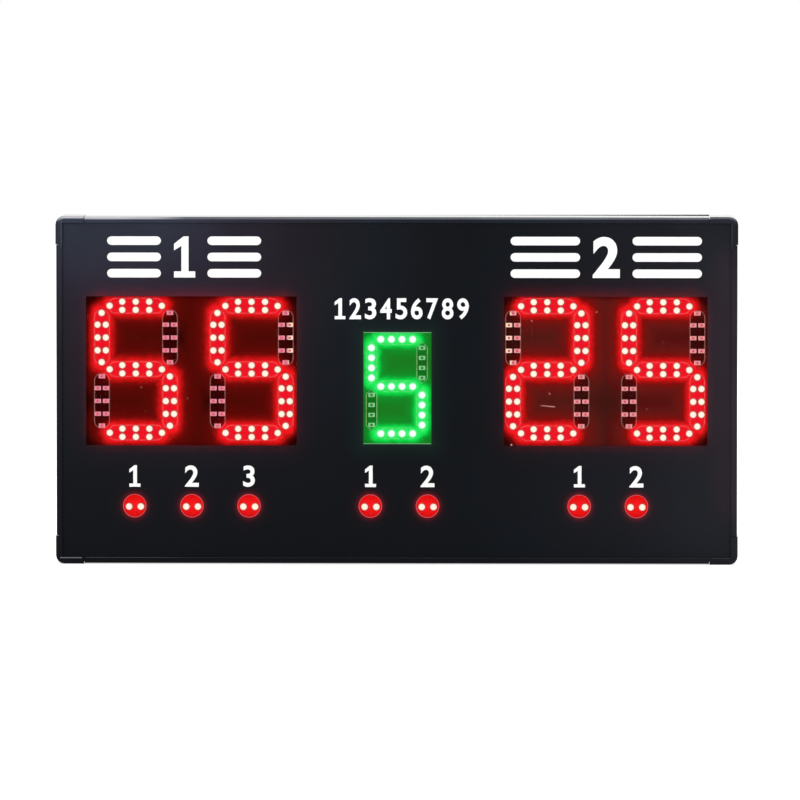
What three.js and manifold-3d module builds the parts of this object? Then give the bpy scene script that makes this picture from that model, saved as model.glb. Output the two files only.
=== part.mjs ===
import * as THREE from 'three';
import { mergeVertices } from 'three/addons/utils/BufferGeometryUtils.js';
import Module from 'manifold-3d';

// Electronic baseball scoreboard, in millimetres.
// X runs to the viewer's right, Y runs away from the viewer and Z runs up.
// Depths are measured back from the front of the corner caps.

// Fits
const FIT_GAP = 0.3; // round a piece that goes into or through another
const SEAT_GAP = 0.1; // under a piece that lies flat on its seat
const CUT_OVERRUN = 1; // how far a cut runs past the faces it opens

// Roundness
const BORE_SIDES = 24;
const PIN_SIDES = 10;
const PEG_SIDES = 8;
const EDGE_STEPS = 4;
const BEND_STEPS = 5;

// Frame rails, drawn from the outer face inwards
const RAIL_WALL = 1.3;
const RAIL_DEPTH = 35.4;
const LIP_THICK = 1.4;
const LIP_WIDTH = 4.2;
const FLANGE_THICK = 1.2;
const FLANGE_WIDTH = 5.2;
const REAR_FLANGE_WIDTH = 12;
const RIB_THICK = 1;
const RIB_HEIGHT = 2;
const EDGE_RADIUS = 2.4;

// Corner caps
const CAP_PROUD = 0.5; // how far a cap stands out of the rails
const CAP_LEG = 19.6;
const CORNER_RADIUS = 6;
const TENON_LENGTH = 15;
const TENON_THICK = 3;
const TENON_INSET = 2.5; // from the flanges to the tenon

// Front sheet and its mask
const MASK_THICK = 0.3;
const GLUE_THICK = 0.05;
const SHEET_THICK = 2;
const SHEET_PLAY = 0.2; // each side of the sheet in its groove

// Boards and LED packages
const BOARD_THICK = 1.6;
const BOARD_GAP = 0.4; // between two digit boards
const BOARD_MARGIN = 6.65; // of a board past its window
const LED_WIDTH = 3.5;
const LED_HEIGHT = 2.8;
const LED_RISE = 1.9;
const SOLDER_DEPTH = 0.2;
const HEADER_WIDTH = 5;
const HEADER_HEIGHT = 17;
const HEADER_RISE = 5;
const HEADER_OFFSET = 22; // from a digit's middle to its ribbon headers
const CHIP_WIDTH = 10;
const CHIP_HEIGHT = 4;
const CHIP_RISE = 1.6;
const CHIP_OFFSET = 9; // from a board's ribbon line to its driver chips

// Large digits: seven segments of eight LEDs, in two rows with single ends
const DIGIT_PITCH = 79.8;
const COLUMN_REACH = 23.5; // from a digit's middle to its upright segments
const ROW_REACH = 43.8; // from the middle bar to the top and bottom bars
const PAIR_GAP = 5.7;
const ACROSS_PITCH = 9.3;
const ACROSS_END = 18;
const UPRIGHT_PITCH = 8.86;
const UPRIGHT_END = 17;

// Inning digit: seven segments of four LEDs in single rows
const INNING_COLUMN_REACH = 17.4;
const INNING_ROW_REACH = 32.5;
const INNING_ACROSS_PITCH = 7.3;
const INNING_UPRIGHT_PITCH = 6.9;

// Windows, as margins round the digits they show
const WINDOW_TOP_MARGIN = 2.45;
const WINDOW_BOTTOM_MARGIN = 4.15;
const HOME_LEFT_MARGIN = 6;
const HOME_RIGHT_MARGIN = 3.1;
const GUEST_LEFT_MARGIN = 1.7;
const GUEST_RIGHT_MARGIN = 2.4;
const INNING_LEFT_MARGIN = 3.65;
const INNING_RIGHT_MARGIN = 4.75;
const INNING_TOP_MARGIN = 3.7;
const INNING_BOTTOM_MARGIN = 5.6;
const INNING_RISE = 1.1; // of the inning window's foot over the others

// Layout across and up the front
const INNER_ROOM = 31.9; // between the inning board and the digit groups
const SIDE_ROOM = 13.5; // between the digit groups and the ends
const GROUP_SHIFT = 1.8; // of both digit groups to the right
const TITLE_ROOM = 55.4; // above the windows
const LABEL_ROOM = 33.6; // between the windows and the lamps
const LAMP_Z = 40.2;

// Count lamps
const LAMP_DIAMETER = 16.2;
const LAMP_PITCH = 39.4;
const LAMP_LED_GAP = 8.1;
const LAMP_LED_DROP = 0.8; // of the LEDs below the lamp's middle
const BALL_SHIFT = -1.2;
const STRIKE_SHIFT = 1.6;
const OUT_SHIFT = 1.9;
const BORE_SETBACK = 0.3; // of a shroud's bore behind the mask's edge
const SHROUD_MARGIN = 4.9; // above and below the lamps
const SHROUD_END = 6.5; // past the end lamps
const LAMP_HEADER_WIDTH = 8;
const LAMP_HEADER_HEIGHT = 5;

// Spacer strips and their heat-staked pegs
const STRIP_THICK = 3;
const STRIP_SETBACK = 0.3; // from the window's edge
const PEG_DIAMETER = 2.8;
const PEG_HEAD_DIAMETER = 4.6;
const PEG_HEAD_THICK = 1;
const PEG_INSET = 7; // from a board's side to its pegs

// Rear cover
const COVER_THICK = 1;
const COVER_RADIUS = 3;
const VENT_COUNT = 10;
const VENT_PITCH = 9;
const VENT_WIDTH = 2.4;
const VENT_LENGTH = 26;
const VENT_DROP = 50; // from the top edge to the middle of the vents

// Cover screws
const SCREW_SHANK = 2.8;
const SCREW_LENGTH = 6;
const SCREW_HEAD = 5.6;
const SCREW_HEAD_RISE = 1.8;
const SCREW_INSET = 25; // from a rail's end to its first screw
const SCREW_EDGE = 6.2; // from a rail's outer face to its screws

// Hanger brackets and their pivot screws
const HANGER_THICK = 1.5;
const HANGER_WIDTH = 15;
const HANGER_REACH = 35; // from the pivot to the middle of the free end
const HANGER_EDGE = 8; // from a rail's outer face to the pivot
const PIVOT_SHANK = 4;
const PIVOT_HEAD = 8;
const PIVOT_HEAD_RISE = 2;
const PIVOT_LENGTH = 8;
const KEYHOLE_DIAMETER = 8;
const KEYHOLE_SLOT = 4.4;
const KEYHOLE_START = 20; // from the pivot to the round hole
const KEYHOLE_TRAVEL = 9;

// Power inlet
const SOCKET_X = 72;
const SOCKET_FLANGE = 11;
const SOCKET_FLANGE_THICK = 1.6;
const SOCKET_THREAD = 7.8;
const SOCKET_LENGTH = 14; // inside the cover
const SOCKET_BORE = 5.7;
const SOCKET_BORE_DEPTH = 9.5;
const SOCKET_PIN = 2.1;
const SOCKET_PIN_SINK = 1; // of the pin's tip below the mouth
const SOCKET_NUT = 11.5;
const SOCKET_NUT_THICK = 2.4;

// Power switch
const SWITCH_SPACING = 32; // from the inlet to the switch
const BEZEL_WIDTH = 16.4;
const BEZEL_HEIGHT = 22.4;
const BEZEL_THICK = 2;
const BEZEL_RADIUS = 1.5;
const SWITCH_WIDTH = 13.4;
const SWITCH_HEIGHT = 19.4;
const SWITCH_LENGTH = 13; // inside the cover
const BLADE_WIDTH = 4.8;
const BLADE_THICK = 0.8;
const BLADE_LENGTH = 5;
const BLADE_SPREAD = 5; // from the middle to each blade
const ROCKER_WIDTH = 9.6;
const ROCKER_HEIGHT = 14.6;
const ROCKER_SKIRT = 2.4; // from the pivot to the inner face
const ROCKER_CROWN = 2.3; // from the pivot to the ends of the outer face
const ROCKER_DISH = 0.7; // of the outer face at its middle
const ROCKER_PIN = 2;
const ROCKER_PIN_LENGTH = 0.8;
const ROCKER_TILT = THREE.MathUtils.degToRad(10);
const POCKET_SIDE_GAP = 0.4;
const POCKET_END_GAP = 0.7;
const POCKET_DEPTH = 6.5;
const PIVOT_SINK = 2; // of the rocker's pivot below the bezel's face

// Control board
const CONTROL_WIDTH = 104;
const CONTROL_HEIGHT = 66;
const SUPPORT_HEIGHT = 5;
const SUPPORT_DIAMETER = 7;
const SUPPORT_PIN = 2.8;
const SUPPORT_PIN_RISE = 1;
const SUPPORT_INSET = 4.5;
const RIBBON_HEADER_INSET = 12; // from the control board's sides to its outer ribbon headers
const INNING_HEADER_X = 16;
const LAMP_HEADER_SIDE = 8; // from the control board's sides to its outer lamp headers
const LAMP_HEADER_INSET = 7; // from the control board's foot to its lamp headers
const POWER_HEADER_STEP = 14; // from the right lamp header to the power header
const MCU_SIZE = 10;
const MCU_OFFSET = 8; // to the left of the board's middle
const CRYSTAL_WIDTH = 11;
const CRYSTAL_HEIGHT = 4.6;
const CRYSTAL_RISE = 3.5;
const CRYSTAL_OFFSET = 9; // to the right of the board's middle
const CAPACITOR_DIAMETER = 8;
const CAPACITOR_RISE = 9;
const CAPACITOR_INSET = 24; // from the board's right side
const RADIO_INSET = 7; // from the board's left side to the radio module
const RADIO_WIDTH = 24;
const RADIO_HEIGHT = 14;
const RADIO_THICK = 1.2;
const RADIO_STANDOFF = 2.5;
const RADIO_CAN_WIDTH = 9;
const RADIO_CAN_HEIGHT = 7;
const RADIO_CAN_RISE = 1.5;

// Ribbons and cables
const RIBBON_WIDTH = 12.7;
const RIBBON_THICK = 0.9;
const RIBBON_BEND = 3;
const CABLE_DIAMETER = 2.8;
const CABLE_SIDES = 6;
const CABLE_STEPS = 14;
const CABLE_REACH = 7; // how far a cable runs square out of its header

// Places that follow from the sizes above
const LIP_BACK = CAP_PROUD + LIP_THICK;
const MASK_FRONT = LIP_BACK + SHEET_PLAY;
const MASK_BACK = MASK_FRONT + MASK_THICK;
const SHEET_FRONT = MASK_BACK + GLUE_THICK;
const SHEET_BACK = SHEET_FRONT + SHEET_THICK;
const FLANGE_FRONT = SHEET_BACK + SHEET_PLAY;
const FLANGE_BACK = FLANGE_FRONT + FLANGE_THICK;
const STRIP_FRONT = SHEET_BACK + SEAT_GAP;
const STRIP_BACK = STRIP_FRONT + STRIP_THICK;
const BOARD_FRONT = STRIP_BACK + SEAT_GAP;
const BOARD_BACK = BOARD_FRONT + BOARD_THICK;
const HEADER_FACE = BOARD_BACK + HEADER_RISE;
const RAIL_BACK = CAP_PROUD + RAIL_DEPTH;
const CAP_BACK = RAIL_BACK + CAP_PROUD;
const COVER_BACK = RAIL_BACK;
const COVER_FRONT = COVER_BACK - COVER_THICK;
const REAR_FLANGE_BACK = COVER_FRONT - SEAT_GAP;
const REAR_FLANGE_FRONT = REAR_FLANGE_BACK - FLANGE_THICK;
const TENON_FRONT = FLANGE_BACK + TENON_INSET;
const TENON_BACK = REAR_FLANGE_FRONT - TENON_INSET;
const SUPPORT_SEAT = COVER_FRONT - SEAT_GAP;
const CONTROL_BACK = SUPPORT_SEAT - SUPPORT_HEIGHT - SEAT_GAP;
const CONTROL_FRONT = CONTROL_BACK - BOARD_THICK;
const CONTROL_HEADER_FACE = CONTROL_FRONT - HEADER_RISE;
const HANGER_FRONT = COVER_BACK + FIT_GAP;
const HANGER_BACK = HANGER_FRONT + HANGER_THICK;
const OVERALL_DEPTH = HANGER_BACK + FIT_GAP + PIVOT_HEAD_RISE;

const FIGURE_HALF_WIDTH = COLUMN_REACH + (PAIR_GAP + LED_WIDTH) / 2;
const FIGURE_HALF_HEIGHT = ROW_REACH + (PAIR_GAP + LED_HEIGHT) / 2;
const INNING_HALF_WIDTH = INNING_COLUMN_REACH + LED_WIDTH / 2;
const INNING_HALF_HEIGHT = INNING_ROW_REACH + LED_HEIGHT / 2;
const INNING_WINDOW_WIDTH = 2 * INNING_HALF_WIDTH + INNING_LEFT_MARGIN + INNING_RIGHT_MARGIN;
const GROUP_X = INNING_WINDOW_WIDTH / 2 + BOARD_MARGIN + INNER_ROOM + DIGIT_PITCH;
const HALF_WIDTH = GROUP_X + DIGIT_PITCH + SIDE_ROOM;
const HOME_X = GROUP_SHIFT - GROUP_X;
const GUEST_X = GROUP_SHIFT + GROUP_X;
const WINDOW_BOTTOM = LAMP_Z + LAMP_DIAMETER / 2 + LABEL_ROOM;
const DIGIT_Z = WINDOW_BOTTOM + WINDOW_BOTTOM_MARGIN + FIGURE_HALF_HEIGHT;
const WINDOW_TOP = DIGIT_Z + FIGURE_HALF_HEIGHT + WINDOW_TOP_MARGIN;
const HEIGHT = WINDOW_TOP + TITLE_ROOM;
const INNING_WINDOW_BOTTOM = WINDOW_BOTTOM + INNING_RISE;
const INNING_Z = INNING_WINDOW_BOTTOM + INNING_BOTTOM_MARGIN + INNING_HALF_HEIGHT;
const INNING_WINDOW_TOP = INNING_Z + INNING_HALF_HEIGHT + INNING_TOP_MARGIN;
const INNING_X = 0;
const RAIL_END_X = HALF_WIDTH - CAP_LEG - FIT_GAP;
const RAIL_END_Z = CAP_LEG + FIT_GAP;
const SCREW_X = RAIL_END_X - SCREW_INSET;
const HANGER_X = (SCREW_X * 2) / 3;
const SWITCH_X = SOCKET_X + SWITCH_SPACING;
const POWER_Z = LAMP_Z;
const RIBBON_Z = DIGIT_Z;
const BEZEL_BACK = COVER_BACK + SEAT_GAP + BEZEL_THICK;
const CONTROL_RIGHT = INNING_X + CONTROL_WIDTH / 2;
const CONTROL_LEFT = INNING_X - CONTROL_WIDTH / 2;
const LAMP_HEADER_Z = RIBBON_Z - CONTROL_HEIGHT / 2 + LAMP_HEADER_INSET;
const POWER_HEADER_X = CONTROL_RIGHT - LAMP_HEADER_SIDE - POWER_HEADER_STEP;
const UPPER_RISE = (CONTROL_HEIGHT + HEADER_HEIGHT) / 4; // halfway from the headers to the board's head
const UPPER_Z = RIBBON_Z + UPPER_RISE;

// Windows as they are cut in the mask
const HOME_WINDOW = {
  left: HOME_X - DIGIT_PITCH / 2 - FIGURE_HALF_WIDTH - HOME_LEFT_MARGIN,
  right: HOME_X + DIGIT_PITCH / 2 + FIGURE_HALF_WIDTH + HOME_RIGHT_MARGIN,
  bottom: WINDOW_BOTTOM,
  top: WINDOW_TOP,
};
const GUEST_WINDOW = {
  left: GUEST_X - DIGIT_PITCH / 2 - FIGURE_HALF_WIDTH - GUEST_LEFT_MARGIN,
  right: GUEST_X + DIGIT_PITCH / 2 + FIGURE_HALF_WIDTH + GUEST_RIGHT_MARGIN,
  bottom: WINDOW_BOTTOM,
  top: WINDOW_TOP,
};
const INNING_WINDOW = {
  left: INNING_X - INNING_HALF_WIDTH - INNING_LEFT_MARGIN,
  right: INNING_X + INNING_HALF_WIDTH + INNING_RIGHT_MARGIN,
  bottom: INNING_WINDOW_BOTTOM,
  top: INNING_WINDOW_TOP,
};

// Rows of count lamps, each with the place of its header on the control board
const LAMP_ROWS = [
  { name: 'ball', x: HOME_X + BALL_SHIFT, lamps: 3, header: CONTROL_LEFT + LAMP_HEADER_SIDE },
  { name: 'strike', x: INNING_X + STRIKE_SHIFT, lamps: 2, header: INNING_X },
  { name: 'out', x: GUEST_X + OUT_SHIFT, lamps: 2, header: CONTROL_RIGHT - LAMP_HEADER_SIDE },
];

// Finishes
const ANODISED = { color: 0x232124, roughness: 0.5, metalness: 0.8 };
const BLACK_ABS = { color: 0x1b1a1d, roughness: 0.55, metalness: 0 };
const MASK_FILM = { color: 0x1e1d23, roughness: 0.6, metalness: 0 };
const ACRYLIC = { color: 0xd8dcde, roughness: 0.1, metalness: 0 };
const BLACK_STEEL = { color: 0x242427, roughness: 0.55, metalness: 0.6 };
const ZINC = { color: 0xb7babd, roughness: 0.35, metalness: 1 };
const DARK_BOARD = { color: 0x17181a, roughness: 0.5, metalness: 0 };
const GREEN_BOARD = { color: 0x1e5a35, roughness: 0.45, metalness: 0 };
const WHITE_ABS = { color: 0xe6e4df, roughness: 0.5, metalness: 0 };
const GREY_CABLE = { color: 0x9a9c9f, roughness: 0.6, metalness: 0 };
const BLACK_CABLE = { color: 0x202022, roughness: 0.6, metalness: 0 };

const wasm = await Module();
wasm.setup();

// A closed three.js geometry as a solid that can be joined and cut
function solid(geometry) {
  const bare = geometry.clone();
  bare.deleteAttribute('normal');
  bare.deleteAttribute('uv');
  const merged = mergeVertices(bare);
  const index = merged.index.array;
  const triangles = [];
  for (let i = 0; i < index.length; i += 3) {
    const [a, b, c] = [index[i], index[i + 1], index[i + 2]];
    if (a !== b && b !== c && c !== a) triangles.push(a, b, c);
  }
  return new wasm.Manifold(new wasm.Mesh({
    numProp: 3,
    vertProperties: merged.attributes.position.array,
    triVerts: new Uint32Array(triangles),
  }));
}

// A solid as a three.js geometry
function geometryOf(body) {
  const { vertProperties, triVerts } = body.getMesh();
  const geometry = new THREE.BufferGeometry();
  geometry.setAttribute('position', new THREE.BufferAttribute(vertProperties, 3));
  geometry.setIndex(new THREE.BufferAttribute(triVerts, 1));
  geometry.computeVertexNormals();
  return geometry;
}

function piece(name, body, finish) {
  const mesh = new THREE.Mesh(geometryOf(body), new THREE.MeshStandardMaterial(finish));
  mesh.name = name;
  return mesh;
}

// Outline points on an arc, from one angle to another in whole steps
function arc(x, y, radius, from, to, steps) {
  const points = [];
  for (let i = 0; i <= steps; i += 1) {
    const angle = from + ((to - from) * i) / steps;
    points.push(new THREE.Vector2(x + radius * Math.cos(angle), y + radius * Math.sin(angle)));
  }
  return points;
}

function circle(x, y, radius, sides) {
  return arc(x, y, radius, 0, 2 * Math.PI, sides).slice(0, sides);
}

function roundedBox(left, right, bottom, top, radius, steps) {
  const quarter = Math.PI / 2;
  return [
    ...arc(right - radius, top - radius, radius, 0, quarter, steps),
    ...arc(left + radius, top - radius, radius, quarter, 2 * quarter, steps),
    ...arc(left + radius, bottom + radius, radius, 2 * quarter, 3 * quarter, steps),
    ...arc(right - radius, bottom + radius, radius, 3 * quarter, 4 * quarter, steps),
  ];
}

function box(left, right, bottom, top) {
  return [
    new THREE.Vector2(left, bottom),
    new THREE.Vector2(right, bottom),
    new THREE.Vector2(right, top),
    new THREE.Vector2(left, top),
  ];
}

function outline(points) {
  return new THREE.Shape(points);
}

// Prisms whose outline lies across the width, the depth or the height
const ACROSS = new THREE.Matrix4().set(0, 0, 1, 0, 1, 0, 0, 0, 0, 1, 0, 0, 0, 0, 0, 1);
const BACKWARDS = new THREE.Matrix4().set(1, 0, 0, 0, 0, 0, -1, 0, 0, 1, 0, 0, 0, 0, 0, 1);

function alongWidth(shape, from, to) {
  const prism = new THREE.ExtrudeGeometry(shape, { depth: to - from, bevelEnabled: false });
  return solid(prism.applyMatrix4(ACROSS).translate(from, 0, 0));
}

function alongDepth(shape, from, to) {
  const prism = new THREE.ExtrudeGeometry(shape, { depth: to - from, bevelEnabled: false });
  return solid(prism.applyMatrix4(BACKWARDS).translate(0, to, 0));
}

// A flat plate with holes cut through it
function plate(points, holes, from, to) {
  const cuts = holes.map((hole) => alongDepth(outline(hole), from - CUT_OVERRUN, to + CUT_OVERRUN));
  return alongDepth(outline(points), from, to).subtract(wasm.Manifold.union(cuts));
}

function alongHeight(shape, from, to) {
  const prism = new THREE.ExtrudeGeometry(shape, { depth: to - from, bevelEnabled: false });
  return solid(prism.translate(0, 0, from));
}

// A block given by its middle on the front and its two depths
function block(x, z, width, height, from, to) {
  const geometry = new THREE.BoxGeometry(width, to - from, height);
  return solid(geometry.translate(x, (from + to) / 2, z));
}

function rod(x, z, diameter, from, to, sides = PIN_SIDES) {
  const geometry = new THREE.CylinderGeometry(diameter / 2, diameter / 2, to - from, sides);
  return solid(geometry.translate(x, (from + to) / 2, z));
}

// A turned piece about a line that runs backwards through x and z
function turned(x, z, profile, sides) {
  const points = profile.map(([radius, depth]) => new THREE.Vector2(radius, depth));
  return solid(new THREE.LatheGeometry(points, sides).translate(x, 0, z));
}

// The channel of the rails: in is the distance from the outer face, depth from the front
function railOutline(place) {
  const ribFront = TENON_FRONT - FIT_GAP;
  const ribBack = TENON_BACK + FIT_GAP;
  const rib = RAIL_WALL + RIB_HEIGHT;
  const front = CAP_PROUD;
  const corner = arc(EDGE_RADIUS, front + EDGE_RADIUS, EDGE_RADIUS, 1.5 * Math.PI, Math.PI, EDGE_STEPS);
  const points = [
    ...corner.map((point) => [point.x, point.y]),
    [0, RAIL_BACK],
    [RAIL_WALL, RAIL_BACK],
    [RAIL_WALL, REAR_FLANGE_BACK],
    [REAR_FLANGE_WIDTH, REAR_FLANGE_BACK],
    [REAR_FLANGE_WIDTH, REAR_FLANGE_FRONT],
    [RAIL_WALL, REAR_FLANGE_FRONT],
    [RAIL_WALL, ribBack + RIB_THICK],
    [rib, ribBack + RIB_THICK],
    [rib, ribBack],
    [RAIL_WALL, ribBack],
    [RAIL_WALL, ribFront],
    [rib, ribFront],
    [rib, ribFront - RIB_THICK],
    [RAIL_WALL, ribFront - RIB_THICK],
    [RAIL_WALL, FLANGE_BACK],
    [FLANGE_WIDTH, FLANGE_BACK],
    [FLANGE_WIDTH, FLANGE_FRONT],
    [RAIL_WALL, FLANGE_FRONT],
    [RAIL_WALL, LIP_BACK],
    [LIP_WIDTH, LIP_BACK],
    [LIP_WIDTH, front],
  ];
  return outline(points.map(([inward, depth]) => place(CAP_PROUD + inward, depth)));
}

function coverScrewPlaces(side) {
  const z = side > 0 ? HEIGHT - CAP_PROUD - SCREW_EDGE : CAP_PROUD + SCREW_EDGE;
  return [-SCREW_X, -SCREW_X / 3, SCREW_X / 3, SCREW_X].map((x) => ({ x, z }));
}

function hangerPlaces() {
  const z = HEIGHT - CAP_PROUD - HANGER_EDGE;
  return [{ side: 'left', x: -HANGER_X, z }, { side: 'right', x: HANGER_X, z }];
}

function screwBore(place, shank) {
  const from = REAR_FLANGE_FRONT - CUT_OVERRUN;
  return rod(place.x, place.z, shank + 2 * FIT_GAP, from, REAR_FLANGE_BACK + CUT_OVERRUN);
}

function crossRail(side) {
  const height = (inward) => (side > 0 ? HEIGHT - inward : inward);
  const shape = railOutline((inward, depth) => new THREE.Vector2(depth, height(inward)));
  let rail = alongWidth(shape, -RAIL_END_X, RAIL_END_X);
  for (const place of coverScrewPlaces(side)) rail = rail.subtract(screwBore(place, SCREW_SHANK));
  if (side > 0) {
    for (const place of hangerPlaces()) rail = rail.subtract(screwBore(place, PIVOT_SHANK));
  }
  return rail;
}

function uprightRail(side) {
  const across = (inward) => side * (HALF_WIDTH - inward);
  const shape = railOutline((inward, depth) => new THREE.Vector2(across(inward), depth));
  return alongHeight(shape, RAIL_END_Z, HEIGHT - RAIL_END_Z);
}

// The outer form that the four caps share: round corners and a round front edge
function capEnvelope() {
  const shape = outline(roundedBox(-HALF_WIDTH, HALF_WIDTH, 0, HEIGHT, CORNER_RADIUS, EDGE_STEPS));
  const depth = CAP_BACK + CUT_OVERRUN;
  const form = new THREE.ExtrudeGeometry(shape, {
    depth,
    bevelThickness: EDGE_RADIUS,
    bevelSize: EDGE_RADIUS,
    bevelOffset: -EDGE_RADIUS,
    bevelSegments: EDGE_STEPS,
  });
  return solid(form.applyMatrix4(BACKWARDS).translate(0, depth + EDGE_RADIUS, 0));
}

function cornerCap(sideX, sideZ) {
  const place = (a, b) => new THREE.Vector2(sideX * (HALF_WIDTH - a), sideZ > 0 ? HEIGHT - b : b);
  const ell = (outer, inner, leg) => outline([
    place(outer, outer),
    place(leg, outer),
    place(leg, inner),
    place(inner, inner),
    place(inner, leg),
    place(outer, leg),
  ]);
  const wall = CAP_PROUD + RAIL_WALL;
  const tenonOuter = wall + FIT_GAP;
  const tenonInner = tenonOuter + TENON_THICK;
  const lip = ell(0, CAP_PROUD + LIP_WIDTH, CAP_LEG);
  const flange = ell(0, CAP_PROUD + FLANGE_WIDTH, CAP_LEG);
  const rearFlange = ell(0, CAP_PROUD + REAR_FLANGE_WIDTH, CAP_LEG);
  const tenon = ell(tenonOuter, tenonInner, CAP_LEG + TENON_LENGTH);
  return alongDepth(ell(0, wall, CAP_LEG), 0, CAP_BACK)
    .add(alongDepth(lip, 0, LIP_BACK))
    .add(alongDepth(flange, FLANGE_FRONT, FLANGE_BACK))
    .add(alongDepth(rearFlange, REAR_FLANGE_FRONT, REAR_FLANGE_BACK))
    .add(alongDepth(ell(0, tenonInner, CAP_LEG), TENON_FRONT, TENON_BACK))
    .add(alongDepth(tenon, TENON_FRONT, TENON_BACK))
    .intersect(capEnvelope());
}

// The rectangle that fits between the rails' walls
function innerBox() {
  const inset = CAP_PROUD + RAIL_WALL + FIT_GAP;
  return { left: inset - HALF_WIDTH, right: HALF_WIDTH - inset, bottom: inset, top: HEIGHT - inset };
}

function frontSheet() {
  const { left, right, bottom, top } = innerBox();
  return alongDepth(outline(box(left, right, bottom, top)), SHEET_FRONT, SHEET_BACK);
}

function lampPlaces(row) {
  const places = [];
  for (let i = 0; i < row.lamps; i += 1) {
    places.push({ x: row.x + (i - (row.lamps - 1) / 2) * LAMP_PITCH, z: LAMP_Z });
  }
  return places;
}

function frontMask() {
  const { left, right, bottom, top } = innerBox();
  const windows = [HOME_WINDOW, GUEST_WINDOW, INNING_WINDOW];
  const holes = windows.map((w) => box(w.left, w.right, w.bottom, w.top));
  for (const row of LAMP_ROWS) {
    for (const lamp of lampPlaces(row)) {
      holes.push(circle(lamp.x, lamp.z, LAMP_DIAMETER / 2, BORE_SIDES));
    }
  }
  return plate(box(left, right, bottom, top), holes, MASK_FRONT, MASK_BACK);
}

// Where the LEDs of a large digit sit, from the digit's middle
function digitLeds() {
  const leds = [];
  for (const z of [-ROW_REACH, 0, ROW_REACH]) {
    for (const x of [-ACROSS_PITCH, 0, ACROSS_PITCH]) {
      leds.push([x, z - PAIR_GAP / 2], [x, z + PAIR_GAP / 2]);
    }
    leds.push([-ACROSS_END, z], [ACROSS_END, z]);
  }
  for (const x of [-COLUMN_REACH, COLUMN_REACH]) {
    for (const middle of [-ROW_REACH / 2, ROW_REACH / 2]) {
      for (const z of [-UPRIGHT_PITCH, 0, UPRIGHT_PITCH]) {
        leds.push([x - PAIR_GAP / 2, middle + z], [x + PAIR_GAP / 2, middle + z]);
      }
      leds.push([x, middle - UPRIGHT_END], [x, middle + UPRIGHT_END]);
    }
  }
  return leds;
}

function inningLeds() {
  const leds = [];
  for (let i = 0; i < 4; i += 1) {
    const x = (i - 1.5) * INNING_ACROSS_PITCH;
    const z = (i - 1.5) * INNING_UPRIGHT_PITCH;
    leds.push([x, -INNING_ROW_REACH], [x, 0], [x, INNING_ROW_REACH]);
    for (const column of [-INNING_COLUMN_REACH, INNING_COLUMN_REACH]) {
      leds.push([column, z - INNING_ROW_REACH / 2], [column, z + INNING_ROW_REACH / 2]);
    }
  }
  return leds;
}

function lampLeds(row) {
  return lampPlaces(row).flatMap(({ x, z }) => [
    [x - LAMP_LED_GAP / 2, z - LAMP_LED_DROP],
    [x + LAMP_LED_GAP / 2, z - LAMP_LED_DROP],
  ]);
}

// A bare board with LED packages on its front, peg holes and parts on its back
function ledBoard(board, leds, pegs, backParts) {
  let body = block(board.x, board.z, board.width, board.height, BOARD_FRONT, BOARD_BACK);
  const packages = leds.map(([x, z]) => block(
    x, z, LED_WIDTH, LED_HEIGHT, BOARD_FRONT - LED_RISE, BOARD_FRONT + SOLDER_DEPTH,
  ));
  body = wasm.Manifold.union([body, ...packages, ...backParts]);
  for (const peg of pegs) {
    const from = BOARD_FRONT - CUT_OVERRUN;
    const bore = PEG_DIAMETER + 2 * FIT_GAP;
    body = body.subtract(rod(peg.x, peg.z, bore, from, BOARD_BACK + CUT_OVERRUN, PEG_SIDES));
  }
  return body;
}

function backHeader(x, z, width, height) {
  return block(x, z, width, height, BOARD_BACK - SOLDER_DEPTH, HEADER_FACE);
}

function backChip(x, z) {
  const to = BOARD_BACK + CHIP_RISE;
  return block(x, z, CHIP_WIDTH, CHIP_HEIGHT, BOARD_BACK - SOLDER_DEPTH, to);
}

// Peg places above or below a window, over the boards that they carry
function stripPegs(window, side, boards) {
  const z = side > 0 ? window.top + BOARD_MARGIN / 2 : window.bottom - BOARD_MARGIN / 2;
  return boards.flatMap(({ x, width }) => [
    { x: x - width / 2 + PEG_INSET, z },
    { x: x + width / 2 - PEG_INSET, z },
  ]);
}

function boardIn(window, x, width) {
  return {
    x,
    z: (window.bottom + window.top) / 2,
    width,
    height: window.top - window.bottom + 2 * BOARD_MARGIN,
  };
}

function digitBoardPlaces(window, x) {
  const width = DIGIT_PITCH - BOARD_GAP;
  return [-1, 1].map((side) => boardIn(window, x + (side * DIGIT_PITCH) / 2, width));
}

function inningBoardPlace() {
  const x = (INNING_WINDOW.left + INNING_WINDOW.right) / 2;
  return boardIn(INNING_WINDOW, x, INNING_WINDOW_WIDTH + 2 * BOARD_MARGIN);
}

function digitBoard(window, board) {
  const leds = digitLeds().map(([x, z]) => [board.x + x, DIGIT_Z + z]);
  const pegs = [...stripPegs(window, 1, [board]), ...stripPegs(window, -1, [board])];
  return ledBoard(board, leds, pegs, [
    backHeader(board.x - HEADER_OFFSET, RIBBON_Z, HEADER_WIDTH, HEADER_HEIGHT),
    backHeader(board.x + HEADER_OFFSET, RIBBON_Z, HEADER_WIDTH, HEADER_HEIGHT),
    backChip(board.x, RIBBON_Z - CHIP_OFFSET),
    backChip(board.x, RIBBON_Z + CHIP_OFFSET),
  ]);
}

function inningBoard() {
  const board = inningBoardPlace();
  const leds = inningLeds().map(([x, z]) => [INNING_X + x, INNING_Z + z]);
  const pegs = [
    ...stripPegs(INNING_WINDOW, 1, [board]),
    ...stripPegs(INNING_WINDOW, -1, [board]),
  ];
  return ledBoard(board, leds, pegs, [
    backHeader(INNING_X - INNING_HEADER_X, RIBBON_Z, HEADER_WIDTH, HEADER_HEIGHT),
    backChip(INNING_X, RIBBON_Z - 2 * CHIP_OFFSET),
  ]);
}

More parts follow.
